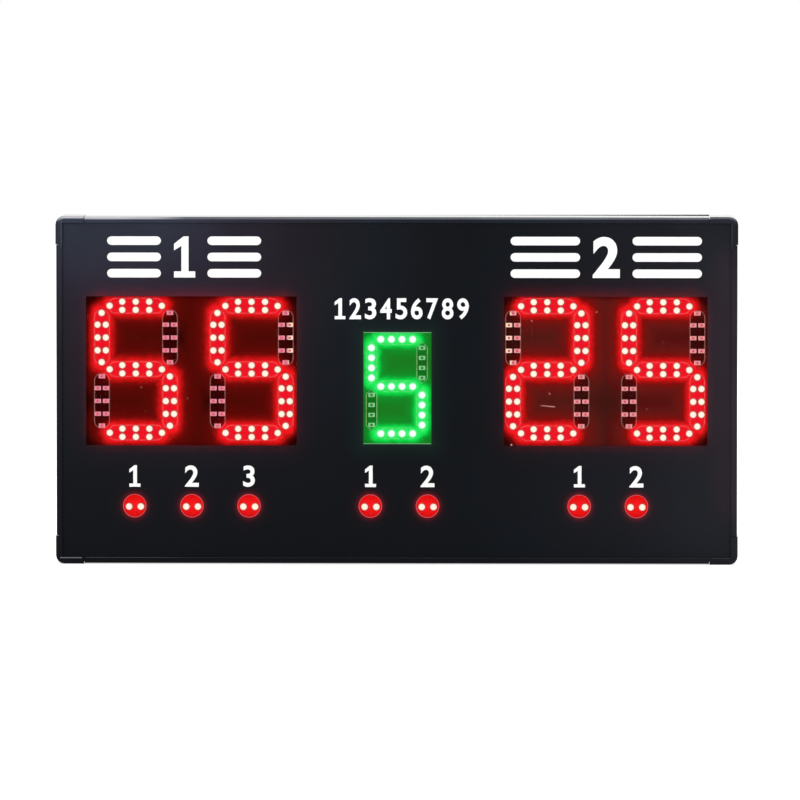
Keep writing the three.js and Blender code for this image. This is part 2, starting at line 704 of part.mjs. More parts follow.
// A peg that passes through a board and is melted over its back
function peg(place) {
  const head = BOARD_BACK + SEAT_GAP;
  const from = STRIP_BACK - SOLDER_DEPTH;
  const shank = rod(place.x, place.z, PEG_DIAMETER, from, head + SOLDER_DEPTH, PEG_SIDES);
  const cap = turned(place.x, place.z, [
    [0, head],
    [PEG_HEAD_DIAMETER / 2, head],
    [PEG_HEAD_DIAMETER / 3, head + PEG_HEAD_THICK],
    [0, head + PEG_HEAD_THICK],
  ], PEG_SIDES);
  return shank.add(cap);
}

function spacerStrip(window, side, boards) {
  const height = BOARD_MARGIN - STRIP_SETBACK;
  const near = side > 0 ? window.top : window.bottom;
  const z = near + side * (STRIP_SETBACK + height / 2);
  const left = boards[0].x - boards[0].width / 2;
  const last = boards[boards.length - 1];
  const right = last.x + last.width / 2;
  const strip = block((left + right) / 2, z, right - left, height, STRIP_FRONT, STRIP_BACK);
  return wasm.Manifold.union([strip, ...stripPegs(window, side, boards).map(peg)]);
}

function shroudPlace(row) {
  return {
    x: row.x,
    z: LAMP_Z,
    width: (row.lamps - 1) * LAMP_PITCH + LAMP_DIAMETER + 2 * SHROUD_END,
    height: LAMP_DIAMETER + 2 * SHROUD_MARGIN,
  };
}

function shroudPegs(row) {
  const { x, z, width } = shroudPlace(row);
  const reach = (width - SHROUD_END) / 2;
  return [{ x: x - reach, z }, { x: x + reach, z }];
}

function lampShroud(row) {
  const { x, z, width, height } = shroudPlace(row);
  const bores = lampPlaces(row).map((lamp) => circle(
    lamp.x, lamp.z, LAMP_DIAMETER / 2 + BORE_SETBACK, BORE_SIDES,
  ));
  const rim = box(x - width / 2, x + width / 2, z - height / 2, z + height / 2);
  const body = plate(rim, bores, STRIP_FRONT, STRIP_BACK);
  return wasm.Manifold.union([body, ...shroudPegs(row).map(peg)]);
}

// The lamp header sits between the last two lamps of its row
function lampHeaderX(row) {
  return row.x + ((row.lamps - 2) * LAMP_PITCH) / 2;
}

function lampBoard(row) {
  return ledBoard(shroudPlace(row), lampLeds(row), shroudPegs(row), [
    backHeader(lampHeaderX(row), LAMP_Z, LAMP_HEADER_WIDTH, LAMP_HEADER_HEIGHT),
  ]);
}

function ventSlots() {
  const z = HEIGHT - VENT_DROP;
  const reach = VENT_LENGTH / 2 - VENT_WIDTH / 2;
  const slots = [];
  for (let i = 0; i < VENT_COUNT; i += 1) {
    const x = (i - (VENT_COUNT - 1) / 2) * VENT_PITCH;
    slots.push([
      ...arc(x, z + reach, VENT_WIDTH / 2, 0, Math.PI, EDGE_STEPS),
      ...arc(x, z - reach, VENT_WIDTH / 2, Math.PI, 2 * Math.PI, EDGE_STEPS),
    ]);
  }
  return slots;
}

function rearCover() {
  const { left, right, bottom, top } = innerBox();
  const bore = (place, shank) => circle(place.x, place.z, shank / 2 + FIT_GAP, PIN_SIDES);
  const switchWide = SWITCH_WIDTH / 2 + FIT_GAP;
  const switchHigh = SWITCH_HEIGHT / 2 + FIT_GAP;
  const holes = [
    ...coverScrewPlaces(1).map((place) => bore(place, SCREW_SHANK)),
    ...coverScrewPlaces(-1).map((place) => bore(place, SCREW_SHANK)),
    ...hangerPlaces().map((place) => bore(place, PIVOT_SHANK)),
    ...ventSlots(),
    circle(SOCKET_X, POWER_Z, SOCKET_THREAD / 2 + FIT_GAP, BORE_SIDES),
    box(SWITCH_X - switchWide, SWITCH_X + switchWide, POWER_Z - switchHigh, POWER_Z + switchHigh),
  ];
  const rim = roundedBox(left, right, bottom, top, COVER_RADIUS, EDGE_STEPS);
  return plate(rim, holes, COVER_FRONT, COVER_BACK);
}

// A pan-head screw whose head faces back
function panScrew(place, size) {
  const { seat } = size;
  const top = seat + size.rise;
  return turned(place.x, place.z, [
    [0, seat - size.length],
    [size.shank / 2, seat - size.length],
    [size.shank / 2, seat],
    [size.head / 2, seat],
    [size.head / 2, seat + size.rise / 3],
    [size.head / 3, top],
    [0, top],
  ], PIN_SIDES);
}

function coverScrew(place) {
  return panScrew(place, {
    seat: COVER_BACK + SEAT_GAP,
    shank: SCREW_SHANK,
    length: SCREW_LENGTH,
    head: SCREW_HEAD,
    rise: SCREW_HEAD_RISE,
  });
}

function hangerScrew(place) {
  return panScrew(place, {
    seat: HANGER_BACK + FIT_GAP,
    shank: PIVOT_SHANK,
    length: PIVOT_LENGTH,
    head: PIVOT_HEAD,
    rise: PIVOT_HEAD_RISE,
  });
}

// The round hole and its slot, which ends nearest the free end
function keyhole(place) {
  const half = KEYHOLE_SLOT / 2;
  const flare = Math.asin(KEYHOLE_SLOT / KEYHOLE_DIAMETER);
  const down = -Math.PI / 2;
  const round = arc(
    place.x, place.z - KEYHOLE_START, KEYHOLE_DIAMETER / 2, down + flare, 3 * Math.PI / 2 - flare, 14,
  );
  const end = arc(place.x, place.z - KEYHOLE_START - KEYHOLE_TRAVEL, half, Math.PI, 2 * Math.PI, EDGE_STEPS);
  return [...round, ...end];
}

function hangerBracket(place) {
  const radius = HANGER_WIDTH / 2;
  const steps = 2 * EDGE_STEPS;
  const rim = [
    ...arc(place.x, place.z, radius, 0, Math.PI, steps),
    ...arc(place.x, place.z - HANGER_REACH, radius, Math.PI, 2 * Math.PI, steps),
  ];
  const pivot = circle(place.x, place.z, PIVOT_SHANK / 2 + FIT_GAP, PIN_SIDES + EDGE_STEPS);
  return plate(rim, [pivot, keyhole(place)], HANGER_FRONT, HANGER_BACK);
}

// A barrel inlet: flange, thread, bore and centre pin
function dcSocket() {
  const mouth = COVER_BACK + SEAT_GAP + SOCKET_FLANGE_THICK;
  return turned(SOCKET_X, POWER_Z, [
    [0, COVER_BACK - SOCKET_LENGTH],
    [SOCKET_THREAD / 2, COVER_BACK - SOCKET_LENGTH],
    [SOCKET_THREAD / 2, COVER_BACK + SEAT_GAP],
    [SOCKET_FLANGE / 2, COVER_BACK + SEAT_GAP],
    [SOCKET_FLANGE / 2, mouth],
    [SOCKET_BORE / 2, mouth],
    [SOCKET_BORE / 2, mouth - SOCKET_BORE_DEPTH],
    [SOCKET_PIN / 2, mouth - SOCKET_BORE_DEPTH],
    [SOCKET_PIN / 2, mouth - SOCKET_PIN_SINK],
    [0, mouth - SOCKET_PIN_SINK],
  ], 18);
}

function dcSocketNut() {
  const hexagon = circle(SOCKET_X, POWER_Z, SOCKET_NUT / 2, 6);
  const bore = circle(SOCKET_X, POWER_Z, SOCKET_THREAD / 2 + FIT_GAP, 18);
  const to = COVER_FRONT - SEAT_GAP;
  return plate(hexagon, [bore], to - SOCKET_NUT_THICK, to);
}

function switchBody() {
  const back = COVER_BACK + SEAT_GAP;
  const front = COVER_BACK - SWITCH_LENGTH;
  const bezel = alongDepth(outline(roundedBox(
    SWITCH_X - BEZEL_WIDTH / 2,
    SWITCH_X + BEZEL_WIDTH / 2,
    POWER_Z - BEZEL_HEIGHT / 2,
    POWER_Z + BEZEL_HEIGHT / 2,
    BEZEL_RADIUS,
    2,
  )), back, BEZEL_BACK);
  const housing = block(SWITCH_X, POWER_Z, SWITCH_WIDTH, SWITCH_HEIGHT, front, back + SOLDER_DEPTH);
  const pocket = block(
    SWITCH_X,
    POWER_Z,
    ROCKER_WIDTH + 2 * POCKET_SIDE_GAP,
    ROCKER_HEIGHT + 2 * POCKET_END_GAP,
    BEZEL_BACK - POCKET_DEPTH,
    BEZEL_BACK + CUT_OVERRUN,
  );
  const blades = [-BLADE_SPREAD, BLADE_SPREAD].map((rise) => block(
    SWITCH_X, POWER_Z + rise, BLADE_WIDTH, BLADE_THICK, front - BLADE_LENGTH, front + SOLDER_DEPTH,
  ));
  const dimple = rockerPin(FIT_GAP);
  return wasm.Manifold.union([bezel, housing, ...blades]).subtract(pocket).subtract(dimple);
}

// The rocker's pivot pin, or the hole that it turns in
function rockerPin(gap) {
  const reach = ROCKER_WIDTH / 2 + ROCKER_PIN_LENGTH + gap;
  const pin = outline(circle(BEZEL_BACK - PIVOT_SINK, POWER_Z, ROCKER_PIN / 2 + gap, PIN_SIDES));
  return alongWidth(pin, SWITCH_X - reach, SWITCH_X + reach);
}

function switchRocker() {
  const pivot = BEZEL_BACK - PIVOT_SINK;
  const half = ROCKER_HEIGHT / 2;
  const side = outline([
    new THREE.Vector2(-ROCKER_SKIRT, -half),
    new THREE.Vector2(ROCKER_CROWN, -half),
    new THREE.Vector2(ROCKER_CROWN - ROCKER_DISH, 0),
    new THREE.Vector2(ROCKER_CROWN, half),
    new THREE.Vector2(-ROCKER_SKIRT, half),
  ]);
  const form = new THREE.ExtrudeGeometry(side, { depth: ROCKER_WIDTH, bevelEnabled: false });
  form.applyMatrix4(ACROSS).translate(-ROCKER_WIDTH / 2, 0, 0);
  form.rotateX(ROCKER_TILT).translate(SWITCH_X, pivot, POWER_Z);
  return solid(form).add(rockerPin(0));
}

function supportPlaces() {
  const reachX = CONTROL_WIDTH / 2 - SUPPORT_INSET;
  const reachZ = CONTROL_HEIGHT / 2 - SUPPORT_INSET;
  return [[-1, -1], [1, -1], [-1, 1], [1, 1]].map(([x, z]) => ({
    x: INNING_X + x * reachX,
    z: RIBBON_Z + z * reachZ,
  }));
}

// A stuck-on support with a pin that passes through the control board
function boardSupport(place) {
  const base = rod(place.x, place.z, SUPPORT_DIAMETER, SUPPORT_SEAT - SUPPORT_HEIGHT, SUPPORT_SEAT, 12);
  const tip = CONTROL_FRONT - SUPPORT_PIN_RISE;
  return base.add(rod(place.x, place.z, SUPPORT_PIN, tip, SUPPORT_SEAT - SUPPORT_HEIGHT + SOLDER_DEPTH));
}

// The ribbon headers of the home digits, the inning digit and the guest digits
const CONTROL_HEADERS = {
  home: CONTROL_LEFT + RIBBON_HEADER_INSET,
  inning: INNING_X + INNING_HEADER_X,
  guest: CONTROL_RIGHT - RIBBON_HEADER_INSET,
};

function controlBoard() {
  const from = CONTROL_FRONT;
  const to = CONTROL_FRONT + SOLDER_DEPTH;
  const face = CONTROL_HEADER_FACE;
  const headers = Object.values(CONTROL_HEADERS).map((x) => block(
    x, RIBBON_Z, HEADER_WIDTH, HEADER_HEIGHT, face, to,
  ));
  const sockets = [...LAMP_ROWS.map((row) => row.header), POWER_HEADER_X].map((x) => block(
    x, LAMP_HEADER_Z, LAMP_HEADER_WIDTH, LAMP_HEADER_HEIGHT, face, to,
  ));
  const crystal = INNING_X + CRYSTAL_OFFSET;
  const capacitor = CONTROL_RIGHT - CAPACITOR_INSET;
  let body = wasm.Manifold.union([
    block(INNING_X, RIBBON_Z, CONTROL_WIDTH, CONTROL_HEIGHT, CONTROL_FRONT, CONTROL_BACK),
    ...headers,
    ...sockets,
    block(INNING_X - MCU_OFFSET, UPPER_Z, MCU_SIZE, MCU_SIZE, from - CHIP_RISE, to),
    block(crystal, UPPER_Z, CRYSTAL_WIDTH, CRYSTAL_HEIGHT, from - CRYSTAL_RISE, to),
    rod(capacitor, UPPER_Z, CAPACITOR_DIAMETER, from - CAPACITOR_RISE, to, BORE_SIDES / 2),
  ]);
  const bore = SUPPORT_PIN + 2 * FIT_GAP;
  const past = CONTROL_BACK + CUT_OVERRUN;
  for (const place of supportPlaces()) {
    body = body.subtract(rod(place.x, place.z, bore, from - CUT_OVERRUN, past));
  }
  return body;
}

// The receiver for the remote control, plugged in over the control board
function radioModule() {
  const x = CONTROL_LEFT + RADIO_INSET + RADIO_WIDTH / 2;
  const seat = CONTROL_FRONT - SEAT_GAP;
  const back = seat - RADIO_STANDOFF;
  const front = back - RADIO_THICK;
  const foot = UPPER_Z - RADIO_HEIGHT / 2 + RADIO_STANDOFF / 2;
  const can = front - RADIO_CAN_RISE;
  return wasm.Manifold.union([
    block(x, UPPER_Z, RADIO_WIDTH, RADIO_HEIGHT, front, back),
    block(x, foot, RADIO_WIDTH / 2, RADIO_STANDOFF, back - SOLDER_DEPTH, seat),
    block(x, UPPER_Z, RADIO_CAN_WIDTH, RADIO_CAN_HEIGHT, can, front + SOLDER_DEPTH),
  ]);
}

// Walks a line over the plan: each move is a straight length or a turn with a radius
function walk(start, heading, moves) {
  let { x, y } = start;
  const stops = [{ x, y, heading }];
  for (const { length = 0, turn = 0, radius = 0 } of moves) {
    x += length * Math.cos(heading);
    y += length * Math.sin(heading);
    if (length) stops.push({ x, y, heading });
    const side = Math.sign(turn);
    for (let i = 0; turn && i < BEND_STEPS; i += 1) {
      const next = heading + turn / BEND_STEPS;
      x += side * radius * (Math.sin(next) - Math.sin(heading));
      y += side * radius * (Math.cos(heading) - Math.cos(next));
      heading = next;
      stops.push({ x, y, heading });
    }
  }
  return stops;
}

// A flat ribbon, on edge, along a walked line
function ribbon(stops) {
  const half = RIBBON_THICK / 2;
  const edge = (side) => stops.map((stop) => new THREE.Vector2(
    stop.x - side * half * Math.sin(stop.heading),
    stop.y + side * half * Math.cos(stop.heading),
  ));
  const shape = outline([...edge(1), ...edge(-1).reverse()]);
  return alongHeight(shape, RIBBON_Z - RIBBON_WIDTH / 2, RIBBON_Z + RIBBON_WIDTH / 2);
}

// From one digit board to the next, out and back
function loopRibbon(fromX, toX) {
  const quarter = Math.PI / 2;
  const run = { length: toX - fromX - 2 * RIBBON_BEND };
  const bend = { turn: -quarter, radius: RIBBON_BEND };
  return ribbon(walk({ x: fromX, y: HEADER_FACE + SEAT_GAP }, quarter, [bend, run, bend]));
}

// From a digit board in front to the control board behind
function stepRibbon(fromX, toX) {
  const quarter = Math.PI / 2;
  const start = HEADER_FACE + SEAT_GAP;
  const radius = (CONTROL_HEADER_FACE - SEAT_GAP - start) / 2;
  const side = Math.sign(toX - fromX);
  const run = { length: Math.abs(toX - fromX) - 2 * radius };
  return ribbon(walk({ x: fromX, y: start }, quarter, [
    { turn: -side * quarter, radius },
    run,
    { turn: side * quarter, radius },
  ]));
}

// A round cable that leaves one end square, crosses over and arrives square
function cable(start, startWay, end, endWay) {
  const from = new THREE.Vector3(start.x, start.y, start.z);
  const to = new THREE.Vector3(end.x, end.y, end.z);
  const line = new THREE.CubicBezierCurve3(
    from,
    from.clone().add(new THREE.Vector3(0, startWay * CABLE_REACH, 0)),
    to.clone().sub(new THREE.Vector3(0, endWay * CABLE_REACH, 0)),
    to,
  );
  const section = outline(circle(0, 0, CABLE_DIAMETER / 2, CABLE_SIDES));
  return solid(new THREE.ExtrudeGeometry(section, { steps: CABLE_STEPS, extrudePath: line }));
}

function lampCable(row) {
  return cable(
    { x: lampHeaderX(row), y: HEADER_FACE + FIT_GAP, z: LAMP_Z },
    1,
    { x: row.header, y: CONTROL_HEADER_FACE - FIT_GAP, z: LAMP_HEADER_Z },
    1,
  );
}

const BLADE_TIP = COVER_BACK - SWITCH_LENGTH - BLADE_LENGTH;

function powerLeadInlet() {
  return cable(
    { x: SOCKET_X, y: COVER_BACK - SOCKET_LENGTH - FIT_GAP, z: POWER_Z },
    -1,
    { x: SWITCH_X, y: BLADE_TIP - FIT_GAP, z: POWER_Z - BLADE_SPREAD },
    1,
  );
}

function powerLeadBoard() {
  return cable(
    { x: SWITCH_X, y: BLADE_TIP - FIT_GAP, z: POWER_Z + BLADE_SPREAD },
    -1,
    { x: POWER_HEADER_X, y: CONTROL_HEADER_FACE - FIT_GAP, z: LAMP_HEADER_Z },
    1,
  );
}

// Sub-assemblies
function frame() {
  const group = new THREE.Group();
  group.add(piece('frame_rail_top', crossRail(1), ANODISED));
  group.add(piece('frame_rail_bottom', crossRail(-1), ANODISED));
  group.add(piece('frame_rail_left', uprightRail(-1), ANODISED));
  group.add(piece('frame_rail_right', uprightRail(1), ANODISED));
  for (const [side, sideX] of [['left', -1], ['right', 1]]) {
    for (const [end, sideZ] of [['top', 1], ['bottom', -1]]) {
      group.add(piece(`corner_cap_${end}_${side}`, cornerCap(sideX, sideZ), BLACK_ABS));
    }
  }
  return group;
}

function front() {
  const group = new THREE.Group();
  group.add(piece('front_sheet', frontSheet(), ACRYLIC));
  group.add(piece('front_mask', frontMask(), MASK_FILM));
  return group;
}

function digits(team, window, x) {
  const group = new THREE.Group();
  const boards = digitBoardPlaces(window, x);
  group.add(piece(`digit_board_${team}_tens`, digitBoard(window, boards[0]), DARK_BOARD));
  group.add(piece(`digit_board_${team}_ones`, digitBoard(window, boards[1]), DARK_BOARD));
  group.add(piece(`spacer_strip_${team}_upper`, spacerStrip(window, 1, boards), BLACK_ABS));
  group.add(piece(`spacer_strip_${team}_lower`, spacerStrip(window, -1, boards), BLACK_ABS));
  return group;
}

function inning() {
  const group = new THREE.Group();
  const boards = [inningBoardPlace()];
  group.add(piece('digit_board_inning', inningBoard(), DARK_BOARD));
  group.add(piece('spacer_strip_inning_upper', spacerStrip(INNING_WINDOW, 1, boards), BLACK_ABS));
  group.add(piece('spacer_strip_inning_lower', spacerStrip(INNING_WINDOW, -1, boards), BLACK_ABS));
  return group;
}

function lamps() {
  const group = new THREE.Group();
  for (const row of LAMP_ROWS) {
    group.add(piece(`lamp_board_${row.name}`, lampBoard(row), DARK_BOARD));
    group.add(piece(`lamp_shroud_${row.name}`, lampShroud(row), WHITE_ABS));
    group.add(piece(`lamp_cable_${row.name}`, lampCable(row), GREY_CABLE));
  }
  return group;
}

function electronics() {
  const group = new THREE.Group();
  group.add(piece('control_board', controlBoard(), GREEN_BOARD));
  supportPlaces().forEach((place, i) => {
    group.add(piece(`control_board_support_${i + 1}`, boardSupport(place), WHITE_ABS));
  });
  group.add(piece('radio_module', radioModule(), GREEN_BOARD));
  const half = DIGIT_PITCH / 2;
  const ribbons = {
    home_tens: loopRibbon(HOME_X - half + HEADER_OFFSET, HOME_X + half - HEADER_OFFSET),
    home_ones: stepRibbon(HOME_X + half + HEADER_OFFSET, CONTROL_HEADERS.home),
    inning: stepRibbon(INNING_X - INNING_HEADER_X, CONTROL_HEADERS.inning),
    guest_tens: stepRibbon(GUEST_X - half - HEADER_OFFSET, CONTROL_HEADERS.guest),
    guest_ones: loopRibbon(GUEST_X - half + HEADER_OFFSET, GUEST_X + half - HEADER_OFFSET),
  };
  for (const [name, body] of Object.entries(ribbons)) {
    group.add(piece(`ribbon_${name}`, body, GREY_CABLE));
  }
  return group;
}

function power() {
  const group = new THREE.Group();
  group.add(piece('dc_socket', dcSocket(), BLACK_ABS));
  group.add(piece('dc_socket_nut', dcSocketNut(), ZINC));
  group.add(piece('power_switch_body', switchBody(), BLACK_ABS));
  group.add(piece('power_switch_rocker', switchRocker(), BLACK_ABS));
  group.add(piece('power_lead_inlet', powerLeadInlet(), BLACK_CABLE));
  group.add(piece('power_lead_board', powerLeadBoard(), BLACK_CABLE));
  return group;
}

function rear() {
  const group = new THREE.Group();
  group.add(piece('rear_cover', rearCover(), BLACK_STEEL));
  [...coverScrewPlaces(1), ...coverScrewPlaces(-1)].forEach((place, i) => {
    group.add(piece(`rear_cover_screw_${i + 1}`, coverScrew(place), ZINC));
  });
  for (const place of hangerPlaces()) {
    group.add(piece(`hanger_bracket_${place.side}`, hangerBracket(place), ZINC));
    group.add(piece(`hanger_screw_${place.side}`, hangerScrew(place), ZINC));
  }
  return group;
}

const scoreboard = new THREE.Group();
scoreboard.add(
  frame(),
  front(),
  digits('home', HOME_WINDOW, HOME_X),
  digits('guest', GUEST_WINDOW, GUEST_X),
  inning(),
  lamps(),
  electronics(),
  power(),
  rear(),
);
scoreboard.position.y = -OVERALL_DEPTH / 2;

export default scoreboard;
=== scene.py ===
"""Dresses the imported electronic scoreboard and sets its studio.

Lengths are in millimetres where a name or a field says so, and in metres, like the frame, elsewhere.
The front of the board looks along -Y, its width runs along X, and Z is up.
"""

import logging
import math
import random
from dataclasses import dataclass, replace
from enum import Enum
from functools import cached_property
from typing import Iterable, Sequence

import bmesh
import bpy
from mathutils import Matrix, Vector
from mathutils.bvhtree import BVHTree


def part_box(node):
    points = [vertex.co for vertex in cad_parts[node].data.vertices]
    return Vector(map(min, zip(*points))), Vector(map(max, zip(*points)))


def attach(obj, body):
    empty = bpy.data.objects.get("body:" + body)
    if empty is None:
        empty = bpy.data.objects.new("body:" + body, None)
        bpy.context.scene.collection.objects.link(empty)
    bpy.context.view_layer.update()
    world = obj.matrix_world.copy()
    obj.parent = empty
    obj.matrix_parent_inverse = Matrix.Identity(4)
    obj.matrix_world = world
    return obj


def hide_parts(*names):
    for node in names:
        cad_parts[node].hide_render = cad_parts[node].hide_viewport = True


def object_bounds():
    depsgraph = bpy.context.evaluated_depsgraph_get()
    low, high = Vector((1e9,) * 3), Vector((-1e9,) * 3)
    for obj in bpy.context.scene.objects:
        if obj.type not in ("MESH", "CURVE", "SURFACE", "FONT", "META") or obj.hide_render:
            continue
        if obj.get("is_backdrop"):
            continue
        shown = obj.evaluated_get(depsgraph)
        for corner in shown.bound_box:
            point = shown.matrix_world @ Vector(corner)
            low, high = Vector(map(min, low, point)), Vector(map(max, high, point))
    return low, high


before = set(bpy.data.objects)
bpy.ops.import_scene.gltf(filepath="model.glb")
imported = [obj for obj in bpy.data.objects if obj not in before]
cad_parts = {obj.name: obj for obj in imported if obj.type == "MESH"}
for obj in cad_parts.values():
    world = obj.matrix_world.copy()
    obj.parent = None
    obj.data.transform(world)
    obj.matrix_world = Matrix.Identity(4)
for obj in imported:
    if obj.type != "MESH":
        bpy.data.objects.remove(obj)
MM = 0.001
LOG = logging.getLogger("scoreboard")

Colour = tuple[float, float, float, float]
Place = tuple[float, float, float]
Spot = tuple[float, float]
Stops = tuple[tuple[float, str], ...]
Socket = bpy.types.NodeSocket
Ring = list[bmesh.types.BMVert]


class Body(Enum):
    """Bodies of the frame that new pieces ride on."""

    HOUSING = "housing"
    ROCKER = "switch_rocker"


class Slot(Enum):
    """Material slots of the record, which new pieces are given; nothing reads them."""

    ABS = "black_abs"
    PRINT = "white_print"
    RED = "led_red_lit"
    GREEN = "led_green_lit"
    UNLIT = "led_unlit"
    ZINC = "bright_zinc"
    FILM = "mask_film"


def srgb(code: str, share: float = 1.0) -> Colour:
    """Turns an sRGB hex colour to linear.

    Args:
        code: six hex digits, such as "1b1a1d".
        share: how bright the result is beside the colour itself.
    Returns:
        Linear red, green and blue, and an alpha of 1.
    """
    parts = [int(code[place:place + 2], 16) / 255 for place in (0, 2, 4)]
    linear = [part / 12.92 if part <= 0.04045 else ((part + 0.055) / 1.055) ** 2.4 for part in parts]
    return *(min(part * share, 1.0) for part in linear), 1.0


def mm(across: float, deep: float, up: float) -> Vector:
    """A point in metres from its three places in millimetres."""
    return Vector((across, deep, up)) * MM


def box_mm(node: str) -> tuple[Vector, Vector]:
    """A node's lowest and highest corners in millimetres."""
    low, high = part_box(node)
    return low / MM, high / MM


def configure(item: object, **settings: object) -> object:
    """Sets several properties of an item.

    Args:
        item: what they belong to.
        settings: the properties.
    Returns:
        The item.
    """
    for name, value in settings.items():
        setattr(item, name, value)
    return item


@dataclass(frozen=True)
class Bar:
    """A light source or opening seen from the front, as a box with round corners.

    Args:
        across_mm: its middle along X.
        up_mm: its middle along Z.
        half_across_mm: half its straight width.
        half_up_mm: half its straight height.
        radius_mm: how far its edge lies outside the straight part.
    """

    across_mm: float
    up_mm: float
    half_across_mm: float = 0.0
    half_up_mm: float = 0.0
    radius_mm: float = 0.0


@dataclass(frozen=True)
class Grain:
    """Fractal noise with lumps of a real size, and the range that its middle is stretched onto.

    Args:
        size_mm: width of one lump.
        low: the lower end of the range.
        high: the upper end of the range, or the rise in millimetres where it raises a surface.
        detail: octaves of finer noise.
        stretch: how fine it is along X, Y and Z.
    """

    size_mm: float
    low: float = 0.0
    high: float = 1.0
    detail: float = 2.0
    stretch: Place = (1.0, 1.0, 1.0)


NOISE_LOW, NOISE_HIGH = 0.3, 0.7  # most of the noise lies between these
ABOVE_ALL = Vector((0, 1, 0))  # takes the depth out of a distance that is measured from the front
SHADER_TYPES = ("BSDF_PRINCIPLED", "BACKGROUND")
BLEND = {"data_type": "RGBA"}
ADDED, LIGHTER, TIMES = (BLEND | {"blend_type": kind} for kind in ("ADD", "LIGHTEN", "MULTIPLY"))


class Nodes:
    """A node tree that nodes are added to, and the shader that they feed."""

    def __init__(self, tree: bpy.types.NodeTree) -> None:
        """Finds the tree's shader."""
        self.tree = tree
        self.shader = next((node for node in tree.nodes if node.type in SHADER_TYPES), None)

    def feed(self, node: bpy.types.Node, inputs: dict) -> None:
        """Gives a node's inputs their values and links.

        Args:
            node: the node.
            inputs: number or name of an input to a value or to another node's output.
        """
        for name, value in inputs.items():
            named = (one for one in node.inputs if one.name == name and one.enabled)
            place = node.inputs[name] if isinstance(name, int) else next(named)
            if isinstance(value, Socket):
                self.tree.links.new(value, place)
            else:
                place.default_value = value

    def add(self, kind: str, inputs: dict | None = None, output: str = "",
            stops: Sequence[tuple[float, Colour]] = (), **settings: object) -> Socket:
        """Adds one node with its settings and links.

        Args:
            kind: name of the node's type.
            inputs: number or name of an input to a value or to another node's output.
            output: name of the output that is wanted, the first one in use if there is none.
            stops: places from 0 to 1 with their colours, in order, where it is a ramp.
            settings: the node's own properties.
        Returns:
            The output.
        """
        node = configure(self.tree.nodes.new(kind), **settings)
        for _ in stops[2:]:
            node.color_ramp.elements.new(1.0)
        if stops:
            for element, (place, colour) in zip(node.color_ramp.elements, stops):
                configure(element, position=place, color=colour)
        self.feed(node, inputs or {})
        return node.outputs[output] if output else next((one for one in node.outputs if one.enabled), None)

    @cached_property
    def point(self) -> Socket:
        """The shaded point in the object's own coordinates, which are those of the frame."""
        return self.add("ShaderNodeTexCoord", output="Object")

    @cached_property
    def deep(self) -> Socket:
        """The shaded point's place along Y."""
        return self.add("ShaderNodeSeparateXYZ", {"Vector": self.point}, "Y")

    @cached_property
    def normal(self) -> Socket:
        """The direction that the surface faces."""
        return self.add("ShaderNodeNewGeometry", output="Normal")

    def noise(self, grain: Grain) -> Socket:
        """Fractal noise, about 0.5 on average.

        Args:
            grain: its size and its shape.
        Returns:
            The noise.
        """
        place = self.add("ShaderNodeVectorMath", {0: self.point, 1: grain.stretch}, operation="MULTIPLY")
        scale = 1 / (grain.size_mm * MM)
        return self.add("ShaderNodeTexNoise", {"Vector": place, "Scale": scale, "Detail": grain.detail})

    def swing(self, grain: Grain, about: float = 0.0) -> Socket:
        """A grain's noise stretched onto its range, about a value."""
        return self.add("ShaderNodeMapRange", {
            "Value": self.noise(grain), "From Min": NOISE_LOW, "From Max": NOISE_HIGH,
            "To Min": about + grain.low, "To Max": about + grain.high,
        })

    def before(self, depth_mm: float) -> Socket:
        """One where the shaded point lies in front of a depth, and nought behind it."""
        return self.add("ShaderNodeMath", {0: self.deep, 1: depth_mm * MM}, operation="LESS_THAN")

    def distance(self, bars: Iterable[Bar]) -> Socket:
        """Distance from the shaded point to the nearest of some bars, seen from the front.

        Args:
            bars: the bars, at least one.
        Returns:
            The distance in metres, negative inside a round part.
        """
        nearest = None
        for bar in bars:
            steps = {"SUBTRACT": mm(bar.across_mm, 0, bar.up_mm), "ABSOLUTE": None}
            offset = self.point
            for operation, other in steps.items():
                inputs = {0: offset} if other is None else {0: offset, 1: other}
                offset = self.add("ShaderNodeVectorMath", inputs, operation=operation)
            half = mm(bar.half_across_mm, 0, bar.half_up_mm) + ABOVE_ALL
            past = self.add("ShaderNodeVectorMath", {0: offset, 1: half}, operation="SUBTRACT")
            outside = self.add("ShaderNodeVectorMath", {0: past, 1: (0, 0, 0)}, operation="MAXIMUM")
            away = self.add("ShaderNodeVectorMath", {0: outside}, operation="LENGTH")
            if bar.radius_mm:
                away = self.add("ShaderNodeMath", {0: away, 1: bar.radius_mm * MM}, operation="SUBTRACT")
            if nearest is None:
                nearest = away
            else:
                nearest = self.add("ShaderNodeMath", {0: nearest, 1: away}, operation="MINIMUM")
        return nearest

    def glow(self, bars: Iterable[Bar], stops: Stops, uneven: Grain | None = None) -> Socket:
        """A colour by the distance from the nearest of some bars.

        Args:
            bars: the bars.
            stops: distances in millimetres with sRGB colours, in order.
            uneven: noise that is added to the distance, in metres.
        Returns:
            The colour.
        """
        away = self.distance(bars)
        if uneven:
            away = self.add("ShaderNodeMath", {0: away, 1: self.swing(uneven)}, operation="ADD")
        reach = stops[-1][0]
        parts = {0: away, 1: 1 / (reach * MM)}
        share = self.add("ShaderNodeMath", parts, operation="MULTIPLY", use_clamp=True)
        colours = [(place / reach, srgb(code)) for place, code in stops]
        return self.add("ShaderNodeValToRGB", {"Fac": share}, stops=colours)

    def paled(self, light: Socket | Colour) -> Socket:
        """Light that turns cream on the packages near the middle, which the room lights from the side."""
        share = self.glow(PALE_LEDS, ((1.0, "ffffff"), (2.4, "000000"), (3.0, "000000")))
        return self.add("ShaderNodeMix", {"Factor": share, "A": light, "B": srgb("ffdcc0")}, **BLEND)


